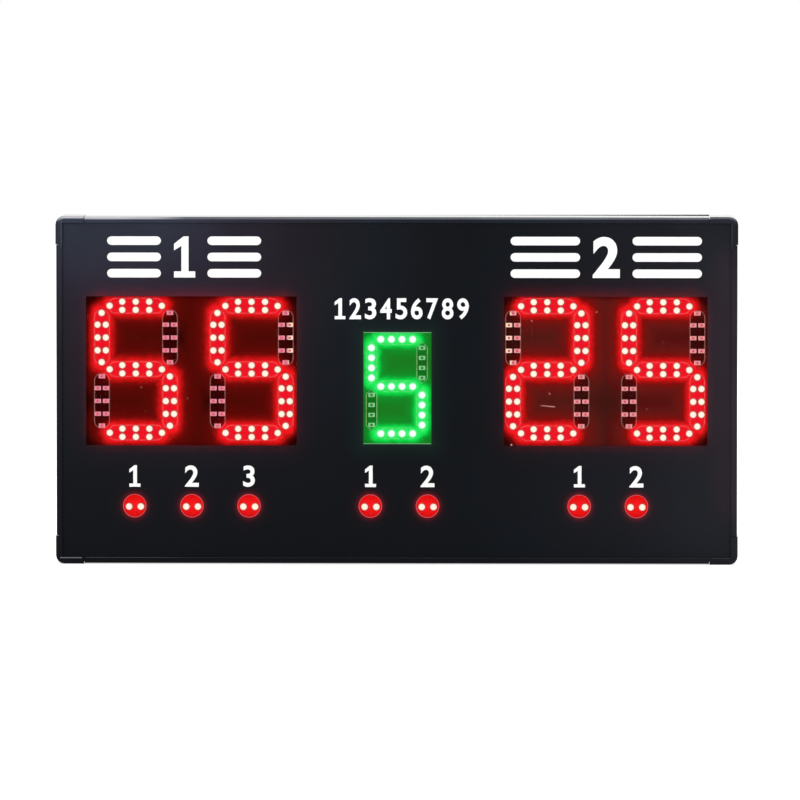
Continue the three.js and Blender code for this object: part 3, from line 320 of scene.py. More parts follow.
@dataclass(frozen=True)
class Finish:
    """What a surface is made of and how it was made.

    Args:
        name: the material's common name, and what it is on where that matters.
        code: its colour as sRGB hex.
        roughness: how matt it is.
        specular: how strongly it mirrors, 0.5 for plain plastic.
        tone: noise that makes the colour darker and lighter.
        gloss: noise that is added to the roughness.
        relief: noise that raises the surface.
        metallic: one for bare metal.
    """

    name: str
    code: str
    roughness: float = 0.5
    specular: float = 0.5
    tone: Grain | None = None
    gloss: Grain | None = None
    relief: Grain | None = None
    metallic: float = 0.0

    def material(self) -> bpy.types.Material:
        """Makes the material of this finish at its first use.

        Returns:
            The material.
        """
        made = bpy.data.materials.get(self.name)
        if made:
            return made
        made = configure(bpy.data.materials.new(self.name), use_nodes=True)
        nodes = Nodes(made.node_tree)
        plain = {"Base Color": srgb(self.code), "Roughness": self.roughness,
                 "Specular IOR Level": self.specular, "Metallic": self.metallic}
        nodes.feed(nodes.shader, plain)
        nodes.feed(nodes.shader, self.paint(nodes))
        return made

    def paint(self, nodes: Nodes) -> dict:
        """What the patterns of this surface give to the shader.

        Args:
            nodes: the material's nodes.
        Returns:
            Names of the shader's inputs with their values and links.
        """
        fed = {"Base Color": self.colour(nodes)}
        light = self.light(nodes)
        if light is not None:
            fed |= {"Emission Color": light, "Emission Strength": 1.0}
        if self.gloss:
            fed["Roughness"] = nodes.swing(self.gloss, self.roughness)
        if self.relief:
            height = {"Height": nodes.noise(self.relief), "Distance": self.relief.high * MM}
            fed["Normal"] = nodes.add("ShaderNodeBump", height)
        return fed

    def colour(self, nodes: Nodes) -> Socket | Colour:
        """The surface's own colour, darker and lighter with its noise.

        Args:
            nodes: the material's nodes.
        Returns:
            The colour.
        """
        if not self.tone:
            return srgb(self.code)
        stops = [(NOISE_LOW, srgb(self.code, self.tone.low)), (NOISE_HIGH, srgb(self.code, self.tone.high))]
        return nodes.add("ShaderNodeValToRGB", {"Fac": nodes.noise(self.tone)}, stops=stops)

    def light(self, nodes: Nodes) -> Socket | None:
        """The light that the surface gives off, none on most."""
        return None


HOME_WINDOW = Bar(-141.35, 133.25, 72.55, 51.35)
GUEST_WINDOW = Bar(143.85, 133.25, 70.05, 51.35)
INNING_WINDOW = Bar(0.55, 121.55, 23.35, 38.55)
SCORE_WINDOWS = (HOME_WINDOW, GUEST_WINDOW)
PALE_LEDS = (Bar(-71.9, 154, 0.9, 18), Bar(76.4, 154, 0.9, 18))
# Painted reflection on the black front: a bluish sheen that fades out from the upper left corner, and a
# fainter one at the right side.
PAINTED_SHEEN = (
    (Bar(-205, 240, 40, 4), (
        (0, "2d313e"), (12, "2b2f3b"), (28, "2a2a37"), (40, "262431"), (55, "221e29"), (76, "1f1b24"),
        (92, "1b171f"), (122, "15151b"), (146, "0f131a"), (190, "080b11"), (230, "060a10"), (300, "060a10"),
    )),
    (Bar(236, 125, 0, 75), (
        (0, "2b262d"), (11, "28222a"), (24, "1d1e24"), (60, "17181e"), (100, "11141a"), (150, "0a0e14"),
        (190, "060a10"), (300, "060a10"),
    )),
)
# Painted highlights: pale lines on the bottom caps' inner lip edges and on the top caps' inner side edges,
# where these edges catch the light.
PAINTED_GLINTS = (
    (Bar(-224.4, 4.4, 7.2, 0), "77777c"), (Bar(223.4, 5.0, 6.4, 0), "8c8f92"),
    (Bar(-230.8, 228.5, 0, 9), "4a4a57"), (Bar(230.6, 226.0, 0, 8), "363c47"),
)


@dataclass(frozen=True)
class AgedBlack(Finish):
    """Black of the front, with a painted bluish reflection at its upper left and a fainter one at its right.
    """

    def black(self, nodes: Nodes) -> Socket:
        """The black at the shaded point, with the painted reflection."""
        corner, side = (nodes.glow((bar,), stops) for bar, stops in PAINTED_SHEEN)
        return nodes.add("ShaderNodeMix", {"Factor": 1.0, "A": corner, "B": side}, **LIGHTER)

    def colour(self, nodes: Nodes) -> Socket:
        """The black with a slight cloudiness.

        Args:
            nodes: the material's nodes.
        Returns:
            The colour.
        """
        stops = [(NOISE_LOW, srgb("e4e4e4")), (NOISE_HIGH, srgb("ffffff"))]
        cloud = nodes.add("ShaderNodeValToRGB", {"Fac": nodes.noise(self.tone)}, stops=stops)
        return nodes.add("ShaderNodeMix", {"Factor": 1.0, "A": self.black(nodes), "B": cloud}, **TIMES)


@dataclass(frozen=True)
class FrameBlack(AgedBlack):
    """Outside of the frame: satin in front, glossy on its outer sides, with painted highlights on its upper
    front edge and on the caps' inner edges.

    Args:
        worn_from_mm: X where the painted highlight on the upper edge starts to fade.
        worn_to_mm: X where that ends.
        worn_slant: product of the normal's Y and Z where the rounded edge starts, and at its middle.
        front_share: how much the normal points forward where the gloss is full, and where it is gone.
        strip_mm: Y where the rough strip at the back of the outer sides starts, and where it is full.
        strip_rough: how much rougher the strip is.
        coat_rough: roughness of the glossy sides.
    """

    worn_from_mm: float = -185.0
    worn_to_mm: float = -145.0
    worn_slant: Spot = (-0.18, -0.5)
    front_share: Spot = (0.2, 0.6)
    strip_mm: Spot = (18.4, 18.7)
    strip_rough: float = 0.7
    coat_rough: float = 0.04

    def black(self, nodes: Nodes) -> Socket:
        """The black with painted highlight lines on the caps' inner edges, and painted light on the upper
        lip.

        Args:
            nodes: the material's nodes.
        Returns:
            The colour.
        """
        tone = super().black(nodes)
        for line, code in PAINTED_GLINTS:
            pale = nodes.glow((line,), ((0.2, code), (0.5, "000000"), (1.0, "000000")))
            tone = nodes.add("ShaderNodeMix", {"Factor": 1.0, "A": tone, "B": pale}, **LIGHTER)
        # Painted light: the frame's upper lip is lifted by an added bluish grey.
        painted_lip_light = nodes.glow((Bar(0, 238, 235, 3),), ((0.2, "15181f"), (0.6, "000000"), (1.0, "000000")))
        tone = nodes.add("ShaderNodeMix", {"Factor": 1.0, "A": tone, "B": painted_lip_light}, **ADDED)
        return self.rubbed(nodes, tone)

    def rubbed(self, nodes: Nodes, tone: Socket) -> Socket:
        """Paints a pale highlight on the rounded edge between the front and the top, palest at the left.

        Args:
            nodes: the material's nodes.
            tone: the black of the frame.
        Returns:
            The colour.
        """
        # Painted highlight on the rounded upper front edge: near white at the left, grey further right.
        ahead, up = (nodes.add("ShaderNodeSeparateXYZ", {"Vector": nodes.normal}, axis) for axis in "YZ")
        slant = nodes.add("ShaderNodeMath", {0: ahead, 1: up}, operation="MULTIPLY")
        start, middle = self.worn_slant
        edge = nodes.add("ShaderNodeMapRange", {"Value": slant, "From Min": start, "From Max": middle})
        across = nodes.add("ShaderNodeSeparateXYZ", {"Vector": nodes.point}, "X")
        ends = {"From Min": self.worn_from_mm * MM, "From Max": self.worn_to_mm * MM}
        along = nodes.add("ShaderNodeMapRange", {"Value": across} | ends)
        stops = [(0.0, srgb("c8c8ce")), (0.4, srgb("c8c8ce")), (1.0, srgb("6c6e76"))]
        pale = nodes.add("ShaderNodeValToRGB", {"Fac": along}, stops=stops)
        return nodes.add("ShaderNodeMix", {"Factor": edge, "A": tone, "B": pale}, **BLEND)

    def paint(self, nodes: Nodes) -> dict:
        """Adds the gloss of the outer sides to what the patterns give.

        Args:
            nodes: the material's nodes.
        Returns:
            Names of the shader's inputs with their values and links.
        """
        fed = super().paint(nodes)
        ahead = nodes.add("ShaderNodeSeparateXYZ", {"Vector": nodes.normal}, "Y")
        size = nodes.add("ShaderNodeMath", {0: ahead}, operation="ABSOLUTE")
        full, gone = self.front_share
        span = {"From Min": full, "From Max": gone, "To Min": 1.0, "To Max": 0.0}
        outward = nodes.add("ShaderNodeMapRange", {"Value": size} | span)
        start, end = self.strip_mm
        span = {"From Min": start * MM, "From Max": end * MM}
        strip = nodes.add("ShaderNodeMapRange", {"Value": nodes.deep} | span)
        bare = nodes.add("ShaderNodeMath", {0: 1.0, 1: strip}, operation="SUBTRACT")
        coat = nodes.add("ShaderNodeMath", {0: outward, 1: bare}, operation="MULTIPLY")
        parts = {0: strip, 1: self.strip_rough, 2: fed["Roughness"]}
        rough = nodes.add("ShaderNodeMath", parts, operation="MULTIPLY_ADD")
        return fed | {"Coat Weight": coat, "Coat Roughness": self.coat_rough, "Roughness": rough}


RED_SPILL = (
    (0, "4a0005"), (1.2, "380006"), (2.6, "300006"), (3.9, "280006"), (5.2, "1e0004"), (6.6, "150003"),
    (8.5, "0e0001"), (13.5, "080000"), (20, "000000"),
)
GREEN_SPILL = ((0, "0a2414"), (1.5, "061a10"), (4, "020f08"), (14, "000000"), (20, "000000"))
LAMP_SPILL = (
    (0, "5c0810"), (0.6, "50050a"), (1.6, "380006"), (2.8, "200003"), (4, "0e0001"), (7, "060000"),
    (14, "000000"), (20, "000000"),
)


@dataclass(frozen=True)
class PrintedFilm(AgedBlack):
    """Black printed PET film: satin and very even, with light that creeps past its cut edges.

    Args:
        windows: the red windows as openings.
        lamps: the lamps' holes as openings.
    """

    windows: tuple[Bar, ...] = ()
    lamps: tuple[Bar, ...] = ()

    def light(self, nodes: Nodes) -> Socket:
        """The light at its openings, red and green.

        Args:
            nodes: the material's nodes.
        Returns:
            The light.
        """
        light = nodes.glow(self.windows, RED_SPILL, Grain(7, -0.0008, 0.0008))
        for bars, stops in (((INNING_WINDOW,), GREEN_SPILL), (self.lamps, LAMP_SPILL)):
            parts = {"Factor": 1.0, "A": light, "B": nodes.glow(bars, stops)}
            light = nodes.add("ShaderNodeMix", parts, **ADDED)
        return light


@dataclass(frozen=True)
class ClearSheet(Finish):
    """Clear cast acrylic: almost nothing to see but a faint reflection, with smears that change the gloss."""

    alpha: float = 0.01
    ior: float = 1.49

    def paint(self, nodes: Nodes) -> dict:
        """Lets the light through."""
        return super().paint(nodes) | {"Alpha": self.alpha, "IOR": self.ior}


PART_STEP_MM = 0.05  # how far in front of a board's face its parts begin


@dataclass(frozen=True)
class CircuitBoard(Finish):
    """FR4 board under green solder mask, whose copper shows through, with dark moulded parts on it.

    Args:
        face_mm: Y of the board's face.
        trace_mm: size of the traces, which are finer on a real board than would show.
        gap_share: width of the gaps between them, as a share of their size.
    """

    face_mm: float = 0.0
    trace_mm: float = 6.0
    gap_share: float = 0.03

    def colour(self, nodes: Nodes) -> Socket:
        """The copper traces, and the dark of the parts.

        Args:
            nodes: the material's nodes.
        Returns:
            The colour.
        """
        flat = nodes.add("ShaderNodeMapping", {"Vector": nodes.point, "Rotation": (math.pi / 2, 0, 0)})
        traces = nodes.add("ShaderNodeTexBrick", {
            "Vector": flat, "Color1": srgb(self.code), "Color2": srgb("2c7a48"), "Mortar": srgb("123f24"),
            "Scale": 1 / (self.trace_mm * MM), "Mortar Size": self.gap_share,
        })
        parts = {"Factor": nodes.before(self.face_mm - PART_STEP_MM), "A": traces, "B": srgb("1b1b1c")}
        return nodes.add("ShaderNodeMix", parts, **BLEND)


RED_GLOW = (
    (0, "ee1226"), (3.4, "f01522"), (4.9, "f5171c"), (5.8, "ee171c"), (6.6, "d81114"), (7.6, "c00f0e"),
    (8.8, "9c0d0b"), (9.8, "800806"), (11.2, "6a0705"), (13, "5c0603"), (16, "540602"), (20, "500602"),
    (24, "3a0301"), (30, "220201"),
)
GUEST_GLOW = RED_GLOW[:8] + (
    (11.2, "74100c"), (13, "68120e"), (16, "5c130f"), (20, "54160f"), (24, "481410"), (30, "40120d"),
)
GUEST_ONES_GLOW = GUEST_GLOW[:11] + ((20, "560c09"), (24, "48120e"), (30, "40110c"))
GREEN_GLOW = (
    (0, "44f478"), (2.8, "28ec60"), (4.4, "12e04e"), (5.6, "0cc63e"), (6.6, "0ea432"), (8, "118e26"),
    (12, "16801f"), (18, "1a761e"), (24, "1a5c18"), (30, "184412"),
)
LAMP_GLOW = (
    (0, "fe1a20"), (2.5, "f6161a"), (4.5, "ec1412"), (6.5, "de1014"), (8.5, "bc0a0e"), (12, "500404"),
    (30, "000000"),
)


@dataclass(frozen=True)
class DisplayBoard(Finish):
    """FR4 board under matt black solder mask that scatters its LEDs' light, with moulded LED packages.

    Args:
        lit: the lit segments or lamps.
        unlit: the unlit segments.
        stops: the light by its distance from what is lit.
        face_mm: Y of the board's face.
        skin_mm: how deep the light shows on the board's edge.
        package_code: colour of the packages.
        package_glow: light on the packages.
        unlit_edge_mm: how far the dark of an unlit segment reaches.
        unlit_soft_mm: half the width over which that dark ends.
        unlit_share: how much light is left in it.
        window: the window in front of the board, whose edge shades it.
        rim_mm: width of that shade.
        rim_share: how much light is left in it on average.
        rim_full: how much wider and deeper the shade is in all than on average.
        rim_corner_mm: radius of its corners.
        rim_drop_mm: how much narrower it is at the bottom.
    """

    lit: tuple[Bar, ...] = ()
    unlit: tuple[Bar, ...] = ()
    stops: Stops = RED_GLOW
    face_mm: float = 0.0
    skin_mm: float = 0.3
    package_code: str = "b5a09e"
    package_glow: str = "c4505c"
    unlit_edge_mm: float = 5.2
    unlit_soft_mm: float = 0.3
    unlit_share: float = 0.45
    window: Bar | None = None
    rim_mm: float = 3.0
    rim_share: float = 0.5
    rim_full: float = 1.6
    rim_corner_mm: float = 12.0
    rim_drop_mm: float = 1.6

    def colour(self, nodes: Nodes) -> Socket:
        """The black of the mask and the paler packages.

        Args:
            nodes: the material's nodes.
        Returns:
            The colour.
        """
        packages = nodes.before(self.face_mm - PART_STEP_MM)
        parts = {"Factor": packages, "A": srgb(self.code), "B": srgb(self.package_code)}
        return nodes.add("ShaderNodeMix", parts, **BLEND)

    def light(self, nodes: Nodes) -> Socket:
        """The scattered light, darker at the window's edge and on unlit segments, and that on packages.

        Args:
            nodes: the material's nodes.
        Returns:
            The light.
        """
        light = nodes.glow(self.lit, self.stops, Grain(4.2, -0.0007, 0.0007, 3))
        shares = [self.left_at_rim(nodes)] if self.window else []
        if self.unlit:
            edge, soft = self.unlit_edge_mm, self.unlit_soft_mm
            shares.append(nodes.add("ShaderNodeMapRange", {
                "Value": nodes.distance(self.unlit), "From Min": (edge - soft) * MM,
                "From Max": (edge + soft) * MM, "To Min": self.unlit_share,
            }))
        for share in shares:
            light = nodes.add("ShaderNodeMix", {"Factor": 1.0, "A": light, "B": share}, **TIMES)
        packages = nodes.before(self.face_mm - PART_STEP_MM)
        parts = {"Factor": packages, "A": light, "B": nodes.paled(srgb(self.package_glow))}
        light = nodes.add("ShaderNodeMix", parts, **BLEND)
        parts = {"Factor": nodes.before(self.face_mm + self.skin_mm), "A": srgb("000000"), "B": light}
        return nodes.add("ShaderNodeMix", parts, **BLEND)

    def left_at_rim(self, nodes: Nodes) -> Socket:
        """The share of light that the shade of the window's edge leaves.

        Args:
            nodes: the material's nodes.
        Returns:
            The share.
        """
        window, drop = self.window, self.rim_drop_mm / 2
        inset = self.rim_mm + self.rim_corner_mm
        half = (window.half_across_mm - inset, window.half_up_mm - inset + drop)
        core = Bar(window.across_mm, window.up_mm - drop, *half, self.rim_corner_mm)
        least = 1.0 - self.rim_full * (1.0 - self.rim_share)
        return nodes.add("ShaderNodeMapRange", {
            "Value": nodes.distance((core,)), "From Max": self.rim_full * self.rim_mm * MM, "To Min": 1.0,
            "To Max": least,
        })


@dataclass(frozen=True)
class LitBoreAbs(Finish):
    """White moulded ABS round the lamps, whose bores are full of the LEDs' red light, most near the LEDs.

    Args:
        lamps: the lamps' holes as openings.
        front_mm: Y of the bores' front.
        back_mm: Y of their back.
        wall_mm: from a lamp's opening out to past the wall of its bore.
    """

    lamps: tuple[Bar, ...] = ()
    front_mm: float = 0.0
    back_mm: float = 1.0
    wall_mm: float = 0.8

    def inside(self, nodes: Nodes) -> Socket:
        """One in the bores and on their walls."""
        away = nodes.distance(self.lamps)
        return nodes.add("ShaderNodeMath", {0: away, 1: self.wall_mm * MM}, operation="LESS_THAN")

    def colour(self, nodes: Nodes) -> Socket:
        """White, with the LEDs' red light painted into the colour as a dull red in the bores."""
        parts = {"Factor": self.inside(nodes), "A": srgb(self.code), "B": srgb("4c1414")}
        return nodes.add("ShaderNodeMix", parts, **BLEND)

    def light(self, nodes: Nodes) -> Socket:
        """The red light on the walls of the bores.

        Args:
            nodes: the material's nodes.
        Returns:
            The light.
        """
        ends = {"From Min": self.front_mm * MM, "From Max": self.back_mm * MM}
        inward = nodes.add("ShaderNodeMapRange", {"Value": nodes.deep} | ends)
        stops = [(0.0, srgb("9c0a12")), (0.5, srgb("cc0e18")), (0.9, srgb("ee1620"))]
        wall = nodes.add("ShaderNodeValToRGB", {"Fac": inward}, stops=stops)
        parts = {"Factor": self.inside(nodes), "A": srgb("000000"), "B": wall}
        return nodes.add("ShaderNodeMix", parts, **BLEND)


@dataclass(frozen=True)
class LitInk(Finish):
    """White silkscreen line on a display board, lit by the LEDs beside it and a little worn.

    Args:
        lit: the lit segments.
        stops: the light by its distance from them.
    """

    lit: tuple[Bar, ...] = ()
    stops: Stops = ()

    def light(self, nodes: Nodes) -> Socket:
        """The LEDs' light by distance, weaker where the ink is worn.

        Args:
            nodes: the material's nodes.
        Returns:
            The light.
        """
        stops = [(0.3, srgb("b8b8b8")), (0.6, srgb("ffffff"))]
        worn = nodes.add("ShaderNodeValToRGB", {"Fac": nodes.noise(Grain(1.6, detail=3))}, stops=stops)
        parts = {"Factor": 1.0, "A": nodes.glow(self.lit, self.stops), "B": worn}
        return nodes.add("ShaderNodeMix", parts, **TIMES)


@dataclass(frozen=True)
class LitResin(Finish):
    """Clear resin over a lit LED chip: nearly white in the middle, in the LED's own colour at its rim.

    Args:
        codes: the light in the middle, half way, at the rim, and in the dark gap round the resin.
    """

    codes: tuple[str, str, str, str] = ("fff8e6", "ffeedb", "f0907c", "8e0c10")

    def light(self, nodes: Nodes) -> Socket:
        """The light, from the mesh's own rim attribute.

        Args:
            nodes: the material's nodes.
        Returns:
            The light.
        """
        rim = nodes.add("ShaderNodeAttribute", output="Fac", attribute_name=RIM_ATTRIBUTE)
        stops = [(place, srgb(code)) for place, code in zip((0.0, 0.66, 0.84, 0.9), self.codes)]
        return nodes.add("ShaderNodeValToRGB", {"Fac": rim}, stops=stops)


@dataclass(frozen=True)
class LitPlastic(Finish):
    """Pale moulded or soldered part beside the LEDs, tinted by their light, slightly unevenly.

    Args:
        light_code: the light on it.
        lump_mm: size of the light's lumps.
        dark_share: how bright the darkest of them are.
        at_windows: whether the light turns cream near the board's middle.
    """

    light_code: str = "a04048"
    lump_mm: float = 0.9
    dark_share: float = 0.75
    at_windows: bool = False

    def light(self, nodes: Nodes) -> Socket:
        """The tint.

        Args:
            nodes: the material's nodes.
        Returns:
            The light.
        """
        stops = [(0.35, srgb(self.light_code, self.dark_share)), (0.65, srgb(self.light_code))]
        light = nodes.add("ShaderNodeValToRGB", {"Fac": nodes.noise(Grain(self.lump_mm))}, stops=stops)
        return nodes.paled(light) if self.at_windows else light


# Drawn aluminium, black anodised: satin, with faint lines along its length. Real lines are finer than
# 0.5 mm, which is the finest that shows.
DRAWN_ACROSS, DRAWN_UPRIGHT = (
    FrameBlack(
        f"anodised_aluminium_{way}", "131214", 0.2, 0.07, tone=Grain(35),
        gloss=Grain(0.5, -0.04, 0.05, 2, stretch), relief=Grain(0.5, 0, 0.004, 2, stretch),
    )
    for way, stretch in (("across", (0.02, 1.0, 1.0)), ("upright", (1.0, 1.0, 0.02)))
)
# Injection moulded ABS: an even fine texture from the etched mould, and soft highlights. The texture is
# drawn at twice its real width so that it shows.
MOULD_TONE, MOULD_GLOSS = Grain(14, 0.9, 1.12), Grain(0.45, -0.04, 0.06, 3)
MOULD_RELIEF = Grain(0.45, 0, 0.02, 3)
BLACK_ABS = Finish("abs_moulded_black", "121113", 0.4, 0.25, MOULD_TONE, MOULD_GLOSS, MOULD_RELIEF)
WHITE_ABS = Finish("abs_moulded_white", "e2dfd8", 0.5, 0.5, MOULD_TONE, MOULD_GLOSS, MOULD_RELIEF)
CAP_ABS = FrameBlack(
    "abs_moulded_black_satin", "121113", 0.24, 0.07, Grain(14), MOULD_GLOSS, replace(MOULD_RELIEF, high=0.006)
)
ACRYLIC = ClearSheet("acrylic_sheet_clear", "14181a", 0.06, gloss=Grain(25, 0, 0.12))
# Powder coated sheet steel: satin black with the coat's pebble, drawn at twice the coat's own grit.
COVER_STEEL = Finish(
    "steel_powder_coated_black", "222225", 0.5, 0.4, Grain(50, 0.88, 1.15), Grain(0.7, -0.08, 0.08, 3),
    Grain(0.7, 0, 0.03, 3),
)
# Bright zinc plate on pressed steel: a cool metal with faint rolling lines and a milky bloom.
ZINC = Finish(
    "zinc_plate_bright", "b9bcbf", 0.32, tone=Grain(5, 0.82, 1.08, 4), gloss=Grain(5, -0.07, 0.1, 4),
    relief=Grain(0.4, 0, 0.008, 2, (1.0, 1.0, 0.06)), metallic=1.0,
)
# Soft PVC cable jacket, and the black bead along the back of the top rail: matt, slightly uneven along their
# length.
JACKET_TONE, JACKET_RELIEF = Grain(6, 0.85, 1.1), Grain(0.7, 0, 0.03)
GREY_PVC = Finish("pvc_jacket_grey", "9a9c9f", 0.6, tone=JACKET_TONE, relief=JACKET_RELIEF)
BLACK_PVC = Finish("pvc_jacket_black", "202022", 0.55, tone=JACKET_TONE, relief=JACKET_RELIEF)
DARK_BEAD = Finish("bead_black_matt", "0c0c0d", 0.8, 0.1, JACKET_TONE, relief=JACKET_RELIEF)
# White ink: flat and dense, a slightly uneven coat.
INK_TONE, INK_RELIEF = Grain(3, 0.95, 1.03), Grain(0.5, 0, 0.004)
WHITE_INK = Finish("screen_ink_white", "ffffff", 0.55, 0.3, INK_TONE, relief=INK_RELIEF)
MARK_INK = Finish("pad_print_white", "d8d8d6", 0.5, 0.3, INK_TONE, relief=INK_RELIEF)
# Cut edges of the film and specks on the sheet, which catch the light of the LEDs.
LAMP_RIM = LitPlastic("pet_film_cut_edge", "402020", 0.5, light_code="dc4450", lump_mm=2.5)
GREEN_EDGE = LitPlastic("pet_film_cut_edge_green", "2c382e", 0.5, light_code="62b474", lump_mm=4.0)
DUST = LitPlastic("dust_and_scratches", "806c6c", 0.7, 0.2, light_code="b8746e")
# Black cotton over the studio's cards: gloss finds nothing in it.
FLAG_CLOTH = Finish("cotton_black_matt", "0a0a0a", 1.0, 0.0)

RIM_ATTRIBUTE = "rim"
EDGE_DEG = 32.0  # edges sharper than this are broken, or stay sharp
SCREW_EDGE_DEG = 30.0
FLAT_DEG = 0.5
WELD_MM = 0.002
BEVEL_SEGMENTS = 2
PACKAGE_RISE_MM = 1.9  # from a display board's face to the face of its LED packages
CLEAR_MM = 0.01  # between a new piece and what it lies on
BOARD_RELIEF = Grain(0.6, 0, 0.01)
SHEET_FACE_MM = box_mm("front_sheet")[0].y
FILM_FACE_MM = box_mm("front_mask")[0].y


def link(name: str, data: bpy.types.ID) -> bpy.types.Object:
    """Adds an object to the scene.

    Args:
        name: its name.
        data: its mesh, light, camera or curve.
    Returns:
        The object.
    """
    made = bpy.data.objects.new(name, data)
    bpy.context.scene.collection.objects.link(made)
    return made


def baked(shape: bpy.types.Object) -> bpy.types.Mesh:
    """The mesh that an object's curve or modifiers make."""
    bpy.context.view_layer.update()
    return bpy.data.meshes.new_from_object(shape.evaluated_get(bpy.context.evaluated_depsgraph_get()))


def smooth(shape: bpy.types.Object, angle_deg: float) -> None:
    """Shades an object smooth below an angle and drops the imported normals.

    Args:
        shape: the object.
        angle_deg: edges sharper than this stay sharp.
    """
    name = f"smooth_below_{angle_deg:g}"
    group = bpy.data.node_groups.get(name)
    if not group:
        group = bpy.data.node_groups.new(name, "GeometryNodeTree")
        for way in ("INPUT", "OUTPUT"):
            group.interface.new_socket("Geometry", in_out=way, socket_type="NodeSocketGeometry")
        nodes = Nodes(group)
        source = nodes.add("NodeGroupInput")
        plain = nodes.add("GeometryNodeRemoveAttribute", {"Geometry": source, "Name": "custom_normal"})
        faces = nodes.add("GeometryNodeSetShadeSmooth", {"Geometry": plain, "Shade Smooth": True})
        limits = {"A": nodes.add("GeometryNodeInputMeshEdgeAngle"), "B": math.radians(angle_deg)}
        sharp = nodes.add("FunctionNodeCompare", limits, operation="GREATER_THAN")
        inputs = {"Geometry": faces, "Selection": sharp, "Shade Smooth": False}
        edges = nodes.add("GeometryNodeSetShadeSmooth", inputs, domain="EDGE")
        nodes.add("NodeGroupOutput", {0: edges})
    configure(shape.modifiers.new("smooth", "NODES"), node_group=group)


def dress(node: str, finish: Finish, edge_mm: float = 0.0) -> None:
    """Gives a carried-over node its finish, softened edges and smooth round faces.

    Args:
        node: the node's name.
        finish: its finish.
        edge_mm: width of the broken edges, none at 0.
    """
    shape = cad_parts[node]
    for place in shape.material_slots:
        place.material = finish.material()
    configure(shape.modifiers.new("weld", "WELD"), merge_threshold=WELD_MM * MM)
    if edge_mm:
        planar = shape.modifiers.new("planar", "DECIMATE")
        configure(planar, decimate_type="DISSOLVE", angle_limit=math.radians(FLAT_DEG))
        edges = shape.modifiers.new("edges", "BEVEL")
        configure(edges, width=edge_mm * MM, segments=BEVEL_SEGMENTS, limit_method="ANGLE")
        edges.angle_limit = math.radians(EDGE_DEG)
    smooth(shape, EDGE_DEG)
    configure(shape.modifiers.new("flat", "WEIGHTED_NORMAL"), keep_sharp=True)
    LOG.info("%s in %s", node, finish.name)


def circle(across_mm: float, up_mm: float, radius_mm: float, sides: int) -> list[Spot]:
    """Corners of a round outline."""
    turns = [math.tau * step / sides for step in range(sides)]
    return [(across_mm + radius_mm * math.cos(turn), up_mm + radius_mm * math.sin(turn)) for turn in turns]


@dataclass(frozen=True)
class Area:
    """A rectangle on the front, in millimetres."""

    left: float
    right: float
    low: float
    high: float

    @property
    def width(self) -> float:
        """Its width."""
        return self.right - self.left

    @property
    def height(self) -> float:
        """Its height."""
        return self.high - self.low

    def corners(self) -> list[Spot]:
        """Its corners in order."""
        foot = [(self.left, self.low), (self.right, self.low)]
        return [*foot, (self.right, self.high), (self.left, self.high)]


